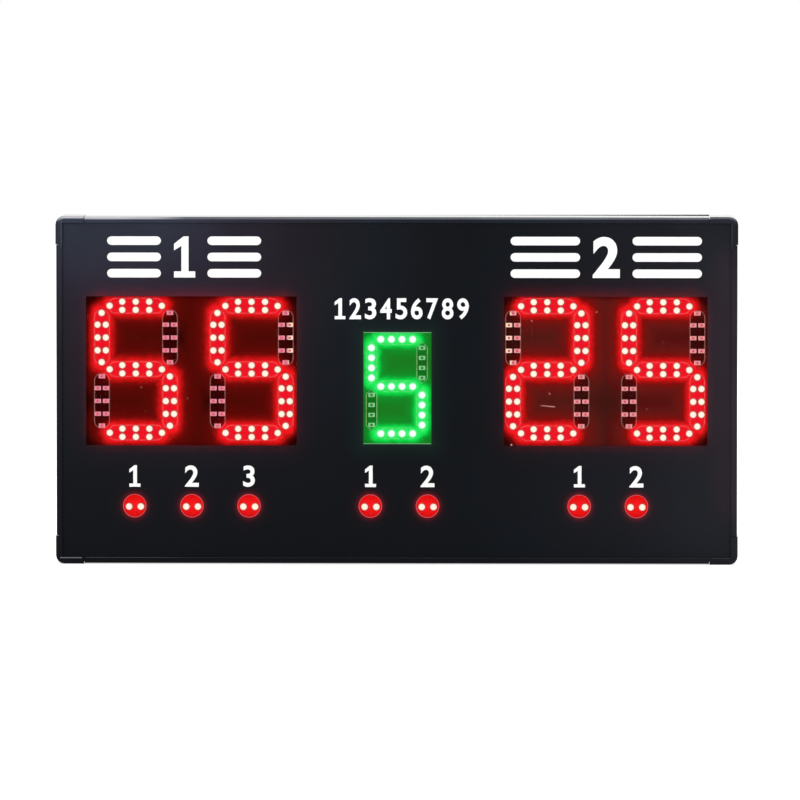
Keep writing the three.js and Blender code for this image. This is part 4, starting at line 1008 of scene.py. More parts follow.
class Mould:
    """Geometry of a new piece, built up from rings of points that are given in millimetres.

    A dome is the round cap of light over one lit LED. Its rings are shares of its radius.
    """

    dome_sides: int = 28
    dome_shares: tuple[float, ...] = (0.96, 0.88, 0.8, 0.55, 0.28)
    dome_rise_mm: float = 0.35
    dome_seat_mm: float = 0.05
    dome_clear_mm: float = 0.02

    def __init__(self) -> None:
        """Starts empty."""
        self.form = bmesh.new()

    def vert(self, across_mm: float, deep_mm: float, up_mm: float) -> bmesh.types.BMVert:
        """Adds one point."""
        return self.form.verts.new(mm(across_mm, deep_mm, up_mm))

    def ring(self, spots: Iterable[Spot], deep_mm: float) -> Ring:
        """Adds the corners of an outline, across and up, at one depth."""
        return [self.vert(x, deep_mm, z) for x, z in spots]

    def join(self, rings: Sequence[Ring]) -> None:
        """Joins each ring to the next by a strip of faces.

        Args:
            rings: the rings, with the same number of corners.
        """
        for ring, following in zip(rings, rings[1:]):
            for place in range(len(ring)):
                after = (place + 1) % len(ring)
                self.form.faces.new((ring[place], ring[after], following[after], following[place]))

    def fan(self, ring: Ring, tip: bmesh.types.BMVert) -> None:
        """Closes a ring by triangles that meet at a point.

        Args:
            ring: the ring.
            tip: the point.
        """
        for place in range(len(ring)):
            self.form.faces.new((ring[place], ring[(place + 1) % len(ring)], tip))

    def solid(self, rings: Sequence[Ring]) -> None:
        """Joins rings and closes the first and the last by a flat face.

        Args:
            rings: the rings, with the same number of corners.
        """
        self.form.faces.new(rings[0])
        self.form.faces.new(rings[-1][::-1])
        self.join(rings)

    def plate(self, outline: Sequence[Spot], front_mm: float, back_mm: float) -> None:
        """Adds a flat plate that faces the front."""
        self.solid([self.ring(outline, front_mm), self.ring(outline, back_mm)])

    def band(self, outer: Sequence[Spot], inner: Sequence[Spot], front_mm: float, back_mm: float) -> None:
        """Adds a closed flat band between two outlines with the same number of corners.

        Args:
            outer: its outer corners.
            inner: its inner corners.
            front_mm: Y of its front.
            back_mm: Y of its back.
        """
        sides = ((outer, front_mm), (inner, front_mm), (inner, back_mm), (outer, back_mm))
        rings = [self.ring(outline, deep) for outline, deep in sides]
        self.join([*rings, rings[0]])

    def dome(self, spot: Spot, radius_mm: float, board_mm: float) -> None:
        """Adds a dome, and marks how near its rim each point is.

        Args:
            spot: its middle, across and up.
            radius_mm: its radius.
            board_mm: Y of the board's face.
        """
        layers = self.form.verts.layers.float
        layer = layers.get(RIM_ATTRIBUTE) or layers.new(RIM_ATTRIBUTE)
        package = board_mm - PACKAGE_RISE_MM
        shoulder, crown = package - self.dome_clear_mm, package - self.dome_rise_mm
        profile = [(1.0, board_mm - self.dome_seat_mm), (1.0, shoulder)]
        for share in self.dome_shares:
            profile.append((share, crown + (shoulder - crown) * share ** 2))
        rings = []
        for share, deep in profile:
            rings.append(self.ring(circle(*spot, radius_mm * share, self.dome_sides), deep))
            for vert in rings[-1]:
                vert[layer] = share
        self.form.faces.new(rings[0])
        self.join(rings)
        self.fan(rings[-1], self.vert(spot[0], crown, spot[1]))

    def mesh(self, name: str, soft: bool = False) -> bpy.types.Mesh:
        """Turns the geometry, which is freed, into a mesh with outward faces.

        Args:
            name: the mesh's name.
            soft: whether its faces are shaded smooth.
        Returns:
            The mesh.
        """
        bmesh.ops.recalc_face_normals(self.form, faces=self.form.faces)
        for face in self.form.faces:
            face.smooth = soft
        made = bpy.data.meshes.new(name)
        self.form.to_mesh(made)
        self.form.free()
        return made

    def place(self, name: str, finish: Finish, slot: Slot, soft: bool = False) -> None:
        """Adds the piece to the scene, on the housing."""
        place_piece(name, self.mesh(name, soft), finish, slot, Body.HOUSING)


def place_piece(name: str, mesh: bpy.types.Mesh, finish: Finish, slot: Slot, body: Body) -> bpy.types.Object:
    """Adds a finished piece to the scene.

    Args:
        name: the piece's name.
        mesh: its mesh, in the frame's coordinates.
        finish: its finish.
        slot: the record's slot that it belongs to; not used.
        body: the body that it rides on.
    Returns:
        The piece.
    """
    mesh.name = name
    mesh.materials.clear()
    mesh.materials.append(finish.material())
    piece = link(name, mesh)
    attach(piece, body.value)
    LOG.info("%s in %s", name, finish.name)
    return piece


class Shown(Enum):
    """Figures that a digit shows, as the letters of their lit segments."""

    TWO = "abged"
    FIVE = "afgcd"


# Each segment's middle in columns to the right and rows up, and whether it stands upright.
SEGMENTS = {
    "a": (0, 1, False), "b": (1, 0.5, True), "c": (1, -0.5, True), "d": (0, -1, False), "e": (-1, -0.5, True),
    "f": (-1, 0.5, True), "g": (0, 0, False),
}
HALF_TURN_STEPS = 8
POINTED_POWER = 0.8


@dataclass(frozen=True)
class FigureLayout:
    """Places of the LEDs and segments of a seven-segment figure, in millimetres.

    Args:
        column_mm: from the figure's middle to its upright segments.
        row_mm: from the figure's middle to its upper segment.
        across_spots: LEDs of a segment that lies across, along it and beside its middle line.
        upright_spots: LEDs of an upright segment, in the same way.
        segment_half_mm: half a segment's length.
        segment_radius_mm: radius of its ends.
        pointed: whether its ends come to a blunt point.
        shift_mm: from the board's middle to the figure's.
    """

    column_mm: float
    row_mm: float
    across_spots: tuple[Spot, ...]
    upright_spots: tuple[Spot, ...]
    segment_half_mm: float
    segment_radius_mm: float
    pointed: bool
    shift_mm: Spot

    @property
    def straight_mm(self) -> float:
        """Half the length of a segment's straight sides."""
        return self.segment_half_mm - self.segment_radius_mm

    def on_segment(self, middle: Spot, letter: str, spots: Iterable[Spot]) -> list[Spot]:
        """Moves spots onto a segment.

        Args:
            middle: the figure's middle.
            letter: which segment.
            spots: how far they lie along the segment and beside its middle line.
        Returns:
            Their places, across and up.
        """
        right, above, upright = SEGMENTS[letter]
        x, z = middle[0] + right * self.column_mm, middle[1] + above * self.row_mm
        return [(x + side, z + along) if upright else (x + along, z + side) for along, side in spots]

    def bars(self, middle: Spot, letters: str, half_mm: float) -> tuple[Bar, ...]:
        """Segments as bars.

        Args:
            middle: the figure's middle.
            letters: which segments.
            half_mm: half their length.
        Returns:
            One bar for each segment.
        """
        made = []
        for letter in letters:
            half = (0.0, half_mm) if SEGMENTS[letter][2] else (half_mm, 0.0)
            made.append(Bar(*self.on_segment(middle, letter, [(0, 0)])[0], *half))
        return tuple(made)

    def leds(self, middle: Spot, letters: str) -> list[Spot]:
        """Middles of the LEDs of some segments.

        Args:
            middle: the figure's middle.
            letters: which segments.
        Returns:
            The LEDs' places, across and up.
        """
        made = []
        for letter in letters:
            spots = self.upright_spots if SEGMENTS[letter][2] else self.across_spots
            made += self.on_segment(middle, letter, spots)
        return made

    def outline(self, middle: Spot, letter: str, inset_mm: float) -> list[Spot]:
        """A segment's printed outline.

        Args:
            middle: the figure's middle.
            letter: which segment.
            inset_mm: how far inside the outer edge of the line.
        Returns:
            Its corners in order.
        """
        corners = []
        for end in (1, -1):
            for step in range(HALF_TURN_STEPS + 1):
                turn = math.pi * ((end < 0) + step / HALF_TURN_STEPS)
                reach = self.segment_radius_mm - inset_mm
                if self.pointed:
                    reach /= (abs(math.cos(turn)) + abs(math.sin(turn))) ** POINTED_POWER
                corners.append((reach * math.sin(turn) + end * self.straight_mm, reach * math.cos(turn)))
        return self.on_segment(middle, letter, corners)


def paired(pitch_mm: float, end_mm: float, gap_mm: float = 5.7) -> tuple[Spot, ...]:
    """Three pairs of LEDs and one at each end, along a segment."""
    pairs = [(along, side) for along in (-pitch_mm, 0, pitch_mm) for side in (-gap_mm / 2, gap_mm / 2)]
    return *pairs, (-end_mm, 0), (end_mm, 0)


def single(pitch_mm: float) -> tuple[Spot, ...]:
    """Four LEDs in one row, along a segment."""
    return tuple((share * pitch_mm, 0.0) for share in (-1.5, -0.5, 0.5, 1.5))


SCORE_LAYOUT = FigureLayout(23.5, 43.8, paired(9.3, 18), paired(8.86, 17), 19.35, 5.4, False, (0.0, 0.85))
INNING_LAYOUT = FigureLayout(17.4, 32.5, single(7.3), single(6.9), 14.6, 3.9, True, (-0.55, 0.95))


@dataclass(frozen=True)
class LightColour:
    """How one colour of LED looks, lit and unlit.

    Args:
        slot: the record's slot of its lit caps.
        stops: its light on the board by distance.
        ink_stops: its light on the printed outlines.
        resin: the lit caps.
        solder: the fillets of unlit LEDs.
        well: the resin wells of unlit LEDs.
        package_code: colour of the unlit packages.
        package_glow: light on the unlit packages.
        core_half_mm: half the length of a lit segment's core.
        unlit_edge_mm: how far the dark of an unlit segment reaches.
        cap_radius_mm: radius of a lit cap.
        well_radius_mm: radius of a well.
        board_gloss: how strongly the board mirrors.
        unlit_share: how much light is left in an unlit segment.
        rim_share: how much light is left at the window's edge.
    """

    slot: Slot
    stops: Stops
    ink_stops: Stops
    resin: LitResin
    solder: LitPlastic
    well: LitPlastic
    package_code: str
    package_glow: str
    core_half_mm: float
    unlit_edge_mm: float
    cap_radius_mm: float
    well_radius_mm: float
    board_gloss: float = 0.0
    unlit_share: float = 0.4
    rim_share: float = 0.5


RED_INK = ((0, "ff4c5a"), (5.8, "fc3a46"), (7.5, "d22c30"), (9.5, "a43a38"), (12, "94504a"), (18, "8c5650"),
           (30, "7c4e48"))
GREEN_INK = ((0, "58f688"), (4.5, "44ec70"), (6.5, "4cc060"), (9, "74b86c"), (13, "7cb46c"), (30, "5e944e"))
RED = LightColour(
    Slot.RED, RED_GLOW, RED_INK, LitResin("led_resin_lit_red", "281c18", 0.3, 0.3),
    LitPlastic("solder_fillet_red", "6a5a58", 0.35, light_code="fb98a8", at_windows=True),
    LitPlastic("led_well_unlit_red", "3a2a2a", 0.2, light_code="c4526a"),
    "3c2c2c", "ea788c", core_half_mm=16.2, unlit_edge_mm=5.1, cap_radius_mm=2.68, well_radius_mm=0.9,
)
GUEST_RED = replace(
    RED, stops=GUEST_GLOW, package_code="483838", package_glow="e98288", board_gloss=0.01,
    solder=LitPlastic("solder_fillet_guest", "7a6a66", 0.35, light_code="fba4a4", at_windows=True),
    well=LitPlastic("led_well_unlit_guest", "3a2a2a", 0.2, light_code="c4525c"),
)
GREEN = LightColour(
    Slot.GREEN, GREEN_GLOW, GREEN_INK,
    LitResin("led_resin_lit_green", "142018", 0.3, 0.3, codes=("ffffff", "f2fff8", "a4ffc8", "2cf068")),
    LitPlastic("solder_fillet_green", "4a5c4c", 0.35, light_code="84d48a"),
    LitPlastic("led_well_unlit_green", "142416", 0.2, light_code="1c6a22"),
    "4a5c4c", "68c070", core_half_mm=12.4, unlit_edge_mm=3.6, cap_radius_mm=2.85, well_radius_mm=1.0,
    unlit_share=0.7, rim_share=0.9,
)


@dataclass
class DigitModule:
    """One digit board with its glowing face, printed outlines, solder, and lit and unlit LEDs.

    Args:
        place: where the digit is.
        shown: the figure that it shows.
        layout: where its LEDs are.
        light: its colour.
        package_width_mm: width of an LED package.
        fillet_mm: how far a solder fillet stands out.
        fillet_half_height_mm: half a fillet's height.
        fillet_foot_mm: how high its foot is.
        fillet_head_mm: how far its head stays below the package's face.
        line_mm: width of the printed lines.
        ink_mm: how far the back and the face of the ink stand off the board.
        glue_mm: depth of the glue in the joint, from just behind the board's face.
        glue_inset_mm: from the board's head and foot to the glue.
        well_sides: how round a resin well is.
        beside: the digit in the same window, whose light falls on this board too.
        fills_joint: whether the joint to the digit on its right is its own.
    """

    place: str
    shown: Shown
    layout: FigureLayout
    light: LightColour
    package_width_mm: float = 3.5
    fillet_mm: float = 0.42
    fillet_half_height_mm: float = 1.35
    fillet_foot_mm: float = 0.3
    fillet_head_mm: float = 0.25
    line_mm: float = 0.6
    ink_mm: Spot = (0.005, 0.03)
    glue_mm: float = 1.2
    glue_inset_mm: float = 1.0
    well_sides: int = 16
    beside: "DigitModule | None" = None
    fills_joint: bool = False

    @cached_property
    def box(self) -> tuple[Vector, Vector]:
        """The board's lowest and highest corners in millimetres."""
        return box_mm(f"digit_board_{self.place}")

    @cached_property
    def middle(self) -> Spot:
        """The figure's middle."""
        (low, high), shift = self.box, self.layout.shift_mm
        return (low.x + high.x) / 2 + shift[0], (low.z + high.z) / 2 + shift[1]

    @property
    def face_mm(self) -> float:
        """Y of the board's face."""
        return self.box[0].y + PACKAGE_RISE_MM

    @property
    def unlit(self) -> str:
        """Letters of the segments that are off."""
        return "".join(letter for letter in SEGMENTS if letter not in self.shown.value)

    def own_light(self) -> tuple[Bar, ...]:
        """Its lit segments as bars."""
        return self.layout.bars(self.middle, self.shown.value, self.light.core_half_mm)

    def dress_board(self) -> None:
        """Gives the board, and the glue in its joint, the face that the LEDs light."""
        light = self.light
        windows = (*SCORE_WINDOWS, INNING_WINDOW)
        nearest = min(windows, key=lambda one: abs(one.across_mm - self.middle[0]))
        finish = DisplayBoard(
            f"fr4_black_mask_{self.place}", "020202", 0.7, light.board_gloss, relief=BOARD_RELIEF,
            lit=self.own_light() + (self.beside.own_light() if self.beside else ()),
            unlit=self.layout.bars(self.middle, self.unlit, self.layout.straight_mm),
            stops=light.stops, face_mm=self.face_mm, package_code=light.package_code,
            package_glow=light.package_glow, unlit_edge_mm=light.unlit_edge_mm, unlit_share=light.unlit_share,
            window=nearest, rim_share=light.rim_share,
        )
        dress(f"digit_board_{self.place}", finish)
        if self.fills_joint:
            (low, high), inset = self.box, self.glue_inset_mm
            joint = Area(high.x + CLEAR_MM, self.beside.box[0].x - CLEAR_MM, low.z + inset, high.z - inset)
            glue = Mould()
            glue.plate(joint.corners(), self.face_mm + 2 * CLEAR_MM, self.face_mm + self.glue_mm)
            glue.place(f"joint_{self.place}", finish, Slot.ABS)

    def print_outlines(self) -> None:
        """Prints the outline of each segment."""
        lines = Mould()
        back, front = (self.face_mm - off for off in self.ink_mm)
        for letter in SEGMENTS:
            outer, inner = (self.layout.outline(self.middle, letter, inset) for inset in (0.0, self.line_mm))
            lines.band(outer, inner, front, back)
        name = f"silkscreen_ink_{self.place}"
        ink = LitInk(name, "2a2422", 0.5, 0.2, lit=self.own_light(), stops=self.light.ink_stops)
        lines.place(f"outlines_{self.place}", ink, Slot.PRINT)

    def unlit_leds(self) -> None:
        """Runs a sloped fillet of solder up each end of the unlit packages, and sets their resin wells."""
        solder, wells = Mould(), Mould()
        face, package = self.face_mm, self.box[0].y
        for x, z in self.layout.leds(self.middle, self.unlit):
            for side in (-1, 1):
                foot = x + side * (self.package_width_mm / 2 + self.fillet_mm)
                head = x + side * (self.package_width_mm / 2 - 2 * CLEAR_MM)
                slope = [(foot, face), (foot, face - self.fillet_foot_mm),
                         (head, package + self.fillet_head_mm), (head, face)]
                solder.solid([
                    [solder.vert(across, deep, z + up) for across, deep in slope]
                    for up in (-self.fillet_half_height_mm, self.fillet_half_height_mm)
                ])
            round_face = circle(x, z, self.light.well_radius_mm, self.well_sides)
            wells.plate(round_face, package - 3 * CLEAR_MM, package + 2 * CLEAR_MM)
        solder.place(f"solder_{self.place}", self.light.solder, Slot.UNLIT)
        wells.place(f"wells_{self.place}", self.light.well, Slot.UNLIT)

    def lit_leds(self) -> None:
        """Sets a round cap of light over each lit LED."""
        caps = Mould()
        for spot in self.layout.leds(self.middle, self.shown.value):
            caps.dome(spot, self.light.cap_radius_mm, self.face_mm)
        caps.place(f"lit_leds_{self.place}", self.light.resin, self.light.slot, soft=True)

    def build(self) -> None:
        """Builds and dresses the module."""
        self.dress_board()
        self.print_outlines()
        self.unlit_leds()
        self.lit_leds()
        LOG.info("digit %s at %.1f, %.1f mm", self.place, *self.middle)


@dataclass
class LampRow:
    """One row of round count lamps: board, shroud, cable, LEDs and the bright cut edge of each hole.

    Args:
        place: which row.
        count: how many lamps it has.
        pitch_mm: from lamp to lamp.
        led_gap_mm: between the two LEDs of a lamp.
        led_drop_mm: how far they sit below the lamp's middle.
        core_half_mm: half the width of the light's core.
        hole_radius_mm: radius of the hole in the film.
        rim_mm: width of the bright edge.
        rim_deep_mm: its depth.
        rim_sides: how round it is.
        cap_radius_mm: radius of a lit cap.
    """

    place: str
    count: int
    pitch_mm: float = 39.4
    led_gap_mm: float = 8.1
    led_drop_mm: float = 0.8
    core_half_mm: float = 2.0
    hole_radius_mm: float = 8.1
    rim_mm: float = 0.42
    rim_deep_mm: float = 0.12
    rim_sides: int = 64
    cap_radius_mm: float = 2.75

    @cached_property
    def middles(self) -> list[Spot]:
        """Finds the lamps from the row's board in the frame.

        Returns:
            Their middles, across and up.
        """
        low, high = box_mm(f"lamp_board_{self.place}")
        first = (low.x + high.x) / 2 - (self.count - 1) * self.pitch_mm / 2
        return [(first + step * self.pitch_mm, (low.z + high.z) / 2) for step in range(self.count)]

    def bars(self) -> tuple[Bar, ...]:
        """The lamps as round openings."""
        return tuple(Bar(x, z, radius_mm=self.hole_radius_mm) for x, z in self.middles)

    def build(self) -> None:
        """Builds and dresses the row."""
        face = box_mm(f"lamp_board_{self.place}")[0].y + PACKAGE_RISE_MM
        cores = tuple(Bar(x, z, self.core_half_mm, 0.0) for x, z in self.middles)
        dress(f"lamp_board_{self.place}", DisplayBoard(
            f"fr4_black_mask_{self.place}", "040404", 0.7, 0.0, relief=BOARD_RELIEF, lit=cores,
            stops=LAMP_GLOW, face_mm=face,
        ))
        front, back = (corner.y for corner in box_mm(f"lamp_shroud_{self.place}"))
        dress(f"lamp_shroud_{self.place}", LitBoreAbs(
            f"abs_moulded_white_lit_{self.place}", "e2dfd8", 0.5, 0.5, relief=MOULD_RELIEF, lamps=self.bars(),
            front_mm=front, back_mm=back,
        ))
        dress(f"lamp_cable_{self.place}", GREY_PVC)
        caps, rims = Mould(), Mould()
        for x, z in self.middles:
            for side in (-1, 1):
                caps.dome((x + side * self.led_gap_mm / 2, z - self.led_drop_mm), self.cap_radius_mm, face)
            radii = (self.hole_radius_mm - CLEAR_MM, self.hole_radius_mm - self.rim_mm)
            outer, inner = (circle(x, z, radius, self.rim_sides) for radius in radii)
            rims.band(outer, inner, SHEET_FACE_MM - self.rim_deep_mm, SHEET_FACE_MM - CLEAR_MM)
        caps.place(f"lit_leds_{self.place}", RED.resin, Slot.RED, soft=True)
        rims.place(f"lamp_rims_{self.place}", LAMP_RIM, Slot.FILM)
        LOG.info("lamp row %s with %d lamps", self.place, self.count)


# The built-in font draws a figure one as a bare bar. This one has a flag and a foot, in shares of its size.
ONE_OUTLINE = (
    (0.06, 0.0), (0.98, 0.0), (0.98, 0.15), (0.69, 0.15), (0.69, 1.0), (0.47, 1.0), (0.06, 0.82),
    (0.06, 0.66), (0.38, 0.77), (0.38, 0.15), (0.06, 0.15),
)
ONE_WIDTH_SHARE = 0.56
# Specks on the sheet: across, up and size in millimetres.
DUST_SPOTS = (
    (137.7, 174.1, 1.1), (92.9, 168.0, 1.0), (105.3, 117.7, 1.1), (183.2, 153.5, 0.7), (172.1, 107.3, 0.8),
    (183.2, 174.1, 0.6), (79.1, 82.6, 1.4), (93.6, 160.5, 0.6), (-178.6, 155.6, 0.6), (-168.9, 154.2, 0.6),
    (-175.8, 121.8, 0.7), (-173.1, 105.3, 0.7), (-144.1, 114.3, 0.8),
)
DUST_SIDES = 9
SCRATCH = ((98.4, 109.6), (108.7, 108.45), (109.0, 108.8), (108.7, 109.1), (100.4, 109.8))


@dataclass
class FrontPanel:
    """The clear sheet with its black film, the white marks printed on it, and dust and a scratch.

    Args:
        lamps: the rows of lamps.
        titles: piece, figure, place and the figure's width of the mark over each score window.
        innings: place of the row of figures over the middle window.
        inning_count: how many figures it has.
        inning_mm: most width of one of them, and from the row's end to the middle of the first one.
        labels: foot, head and most width of the lamps' figures.
        bold: how far a title's figure is thickened, and a small one, as a share of its size.
        font_deep: depth of a figure before it is brought to the ink's, as a share of its size.
        font_steps: how many straight pieces a curve of a figure has.
        ink_mm: thickness of the ink.
        ink_gap_mm: between the film and the ink.
        stripe_mm: height of a stripe.
        stripe_count: how many stripes there are on each side of a title's figure.
        stripe_gap_mm: between a title's figure and its stripes.
        edge_mm: width of the bright edge of the inning window.
        board_margin_mm: from the inning board's edge to its window.
        spill_corner_mm: radius of the corners of the light round a window.
        spill_inset_mm: how much narrower it is than the window on each side.
        spill_shift_mm: how far it lies to the right and up.
    """

    lamps: list[LampRow]
    titles: tuple[tuple[str, str, Area, float], ...] = (
        ("print_side_one", "1", Area(-199.3, -93.2, 197.6, 225.9), 20),
        ("print_side_two", "2", Area(78.4, 210.0, 197.6, 225.9), 24),
    )
    innings: Area = Area(-42.9, 49.5, 169.0, 183.5)
    inning_count: int = 9
    inning_mm: Spot = (8.0, 3.8)
    labels: Place = (53.3, 68.1, 11.5)
    bold: Spot = (0.035, 0.022)
    font_deep: float = 0.05
    font_steps: int = 6
    ink_mm: float = 0.02
    ink_gap_mm: float = 0.005
    stripe_mm: float = 5.9
    stripe_count: int = 3
    stripe_gap_mm: float = 6.0
    edge_mm: float = 0.4
    board_margin_mm: float = 6.65
    spill_corner_mm: float = 9.0
    spill_inset_mm: float = 2.5
    spill_shift_mm: Spot = (0.5, 1.5)

    def dress_sheets(self) -> None:
        """Gives the film and the clear sheet their finishes, the light a little higher than the windows."""
        right, above = self.spill_shift_mm
        corner = self.spill_corner_mm
        windows = tuple(
            Bar(one.across_mm + right, one.up_mm + above, one.half_across_mm - self.spill_inset_mm - corner,
                one.half_up_mm - corner, corner)
            for one in SCORE_WINDOWS
        )
        holes = tuple(bar for row in self.lamps for bar in row.bars())
        dress("front_mask", PrintedFilm(
            "pet_film_black", "151418", 0.42, 0.06, tone=Grain(60), gloss=Grain(60, -0.04, 0.04),
            relief=Grain(0.8, 0, 0.006, 3), windows=windows, lamps=holes,
        ))
        dress("front_sheet", ACRYLIC)

    def inked(self, shape: Mould, outline: Sequence[Spot]) -> None:
        """Adds a printed area."""
        face = FILM_FACE_MM - self.ink_gap_mm
        shape.plate(outline, face - self.ink_mm, face)

    def numeral(self, shape: Mould, figure: str, area: Area, bold: float) -> None:
        """Adds one printed numeral.

        Args:
            shape: the geometry that it goes into.
            figure: the numeral.
            area: where it goes; it fills the height, and at most the width.
            bold: how far its outline is thickened, as a share of its size.
        """
        if figure == "1":
            wide = min(area.height * ONE_WIDTH_SHARE, area.width)
            left = (area.left + area.right - wide) / 2
            self.inked(shape, [(left + x * wide, area.low + z * area.height) for x, z in ONE_OUTLINE])
            return
        curve = bpy.data.curves.new("numeral", "FONT")
        configure(curve, body=figure, offset=bold, extrude=self.font_deep, resolution_u=self.font_steps)
        holder = link("numeral", curve)
        mesh = baked(holder)
        points = [vert.co.copy() for vert in mesh.vertices]
        low = Vector(min(point[axis] for point in points) for axis in range(3))
        size = Vector(max(point[axis] for point in points) for axis in range(3)) - low
        tall = area.height / size.y
        wide = min(tall, area.width / size.x)
        left = (area.left + area.right - size.x * wide) / 2
        for vert, point in zip(mesh.vertices, points):
            away = point - low
            deep = FILM_FACE_MM - self.ink_gap_mm - self.ink_mm * away.z / size.z
            vert.co = mm(left + away.x * wide, deep, area.low + away.y * tall)
        shape.form.from_mesh(mesh)
        bpy.data.objects.remove(holder)
        bpy.data.curves.remove(curve)
        bpy.data.meshes.remove(mesh)

    def stripe(self, shape: Mould, area: Area) -> None:
        """Adds a printed stripe with round ends.

        Args:
            shape: the geometry that it goes into.
            area: its place.
        """
        radius = area.height / 2
        corners = []
        for end, start in ((area.right - radius, -math.pi / 2), (area.left + radius, math.pi / 2)):
            for step in range(HALF_TURN_STEPS + 1):
                turn = start + math.pi * step / HALF_TURN_STEPS
                corners.append((end + radius * math.cos(turn), area.low + radius + radius * math.sin(turn)))
        self.inked(shape, corners)

    def print_title(self, name: str, figure: str, area: Area, numeral_mm: float) -> None:
        """Prints a side's number between stripes.

        Args:
            name: the piece's name.
            figure: the number.
            area: the place of the whole mark.
            numeral_mm: width that the number takes.
        """
        shape = Mould()
        middle, half = (area.left + area.right) / 2, numeral_mm / 2
        self.numeral(shape, figure, replace(area, left=middle - half, right=middle + half), self.bold[0])
        pitch = (area.height - self.stripe_mm) / (self.stripe_count - 1)
        for step in range(self.stripe_count):
            low = area.low + step * pitch
            for left, right in ((area.left, middle - half - self.stripe_gap_mm),
                                (middle + half + self.stripe_gap_mm, area.right)):
                self.stripe(shape, Area(left, right, low, low + self.stripe_mm))
        shape.place(name, WHITE_INK, Slot.PRINT)

    def print_row(self, name: str, middles: Iterable[float], width_mm: float, low: float,
                  high: float) -> None:
        """Prints the numerals from 1 upward in a row.

        Args:
            name: the piece's name.
            middles: where each stands, across.
            width_mm: most width for each.
            low: their foot.
            high: their head.
        """
        shape = Mould()
        for number, middle in enumerate(middles, 1):
            area = Area(middle - width_mm / 2, middle + width_mm / 2, low, high)
            self.numeral(shape, str(number), area, self.bold[1])
        shape.place(name, WHITE_INK, Slot.PRINT)

    def print_marks(self) -> None:
        """Prints all the white marks."""
        for title in self.titles:
            self.print_title(*title)
        row, (width, end) = self.innings, self.inning_mm
        pitch = (row.width - 2 * end) / (self.inning_count - 1)
        middles = [row.left + end + step * pitch for step in range(self.inning_count)]
        self.print_row("print_innings", middles, width, row.low, row.high)
        low, high, width = self.labels
        for lamps in self.lamps:
            self.print_row(f"print_{lamps.place}", [x for x, _ in lamps.middles], width, low, high)

    def window_edges(self) -> None:
        """Shows the film's cut edge at the inning window's head and foot, where the green light falls."""
        low, high = box_mm("digit_board_inning")
        margin, inner = self.board_margin_mm, 2 * CLEAR_MM
        shape = Mould()
        for foot in (low.z + margin + inner, high.z - margin - self.edge_mm - inner):
            edge = Area(low.x + margin, high.x - margin, foot, foot + self.edge_mm)
            shape.plate(edge.corners(), SHEET_FACE_MM - 4 * CLEAR_MM, SHEET_FACE_MM - CLEAR_MM)
        shape.place("window_edges_inning", GREEN_EDGE, Slot.FILM)

    def dust(self) -> None:
        """Leaves a few specks and a scratch on the sheet inside the windows."""
        chance = random.Random(7)
        shape = Mould()
        for across, up, size in DUST_SPOTS:
            corners = []
            for step in range(DUST_SIDES):
                turn = math.tau * step / DUST_SIDES
                reach = size / 2 * chance.uniform(0.7, 1.15)
                corners.append((across + reach * math.cos(turn), up + reach * math.sin(turn)))
            shape.plate(corners, SHEET_FACE_MM - 5 * CLEAR_MM, SHEET_FACE_MM - CLEAR_MM / 2)
        shape.plate(SCRATCH, SHEET_FACE_MM - 3 * CLEAR_MM, SHEET_FACE_MM - CLEAR_MM / 2)
        shape.place("dust_on_sheet", DUST, Slot.FILM)

    def build(self) -> None:
        """Builds and dresses the front."""
        self.dress_sheets()
        self.print_marks()
        self.dust()
        self.window_edges()
        LOG.info("front panel with %d windows and %d rows of lamps", len(SCORE_WINDOWS) + 1, len(self.lamps))


@dataclass
class Housing:
    """The four frame rails and the four corner caps, with a dark bead behind the top rail that draws a dark
    line along the back of the top.

    Args:
        rail_edge_mm: width of the rails' broken edges.
        cap_edge_mm: width of the caps' broken edges.
        bead_mm: width of the bead.
        bead_inset_mm: from the back of the rail to the bead.
        bead_start_mm: X where the bead starts.
        bead_power: how slowly the bead rises from its start to its full height at the cap.
        bead_steps: how many steps it takes.
        bead_least_mm: its height at its start.
        bead_sunk_mm: how deep its foot lies in the rail.
        bead_gap_mm: how far it ends short of the cap.
    """

    rail_edge_mm: float = 0.25
    cap_edge_mm: float = 0.35
    bead_mm: float = 1.3
    bead_inset_mm: float = 0.4
    bead_start_mm: float = -46.0
    bead_power: float = 1.6
    bead_steps: int = 24
    bead_least_mm: float = 0.06
    bead_sunk_mm: float = 0.05
    bead_gap_mm: float = 0.1

    def build(self) -> None:
        """Dresses the rails and the caps, and runs the bead."""
        for side, finish in (("top", DRAWN_ACROSS), ("bottom", DRAWN_ACROSS), ("left", DRAWN_UPRIGHT),
                             ("right", DRAWN_UPRIGHT)):
            dress(f"frame_rail_{side}", finish, self.rail_edge_mm)
        for end in ("top", "bottom"):
            for side in ("left", "right"):
                dress(f"corner_cap_{end}_{side}", CAP_ABS, self.cap_edge_mm)
        self.bead()
        LOG.info("housing dressed")

    def bead(self) -> None:
        """Runs the bead along the back of the top rail, growing to the right cap and its height."""
        high, top = box_mm("frame_rail_top")[1], box_mm("corner_cap_top_left")[1].z
        half = self.bead_mm / 2
        middle = high.y - self.bead_inset_mm - half
        length = high.x - self.bead_gap_mm - self.bead_start_mm
        turns = [math.pi * step / HALF_TURN_STEPS for step in range(HALF_TURN_STEPS + 1)]
        shape = Mould()
        rings = []
        for step in range(self.bead_steps + 1):
            share = step / self.bead_steps
            rise = self.bead_least_mm + (top - high.z - CLEAR_MM) * share ** self.bead_power
            across, foot = self.bead_start_mm + length * share, high.z - self.bead_sunk_mm
            rings.append([
                shape.vert(across, middle + half * math.cos(turn), foot + rise * math.sin(turn))
                for turn in turns
            ])
        shape.solid(rings)
        # The dark bead makes the dark line along the back of the top.
        shape.place("back_line_bead", DARK_BEAD, Slot.ABS)


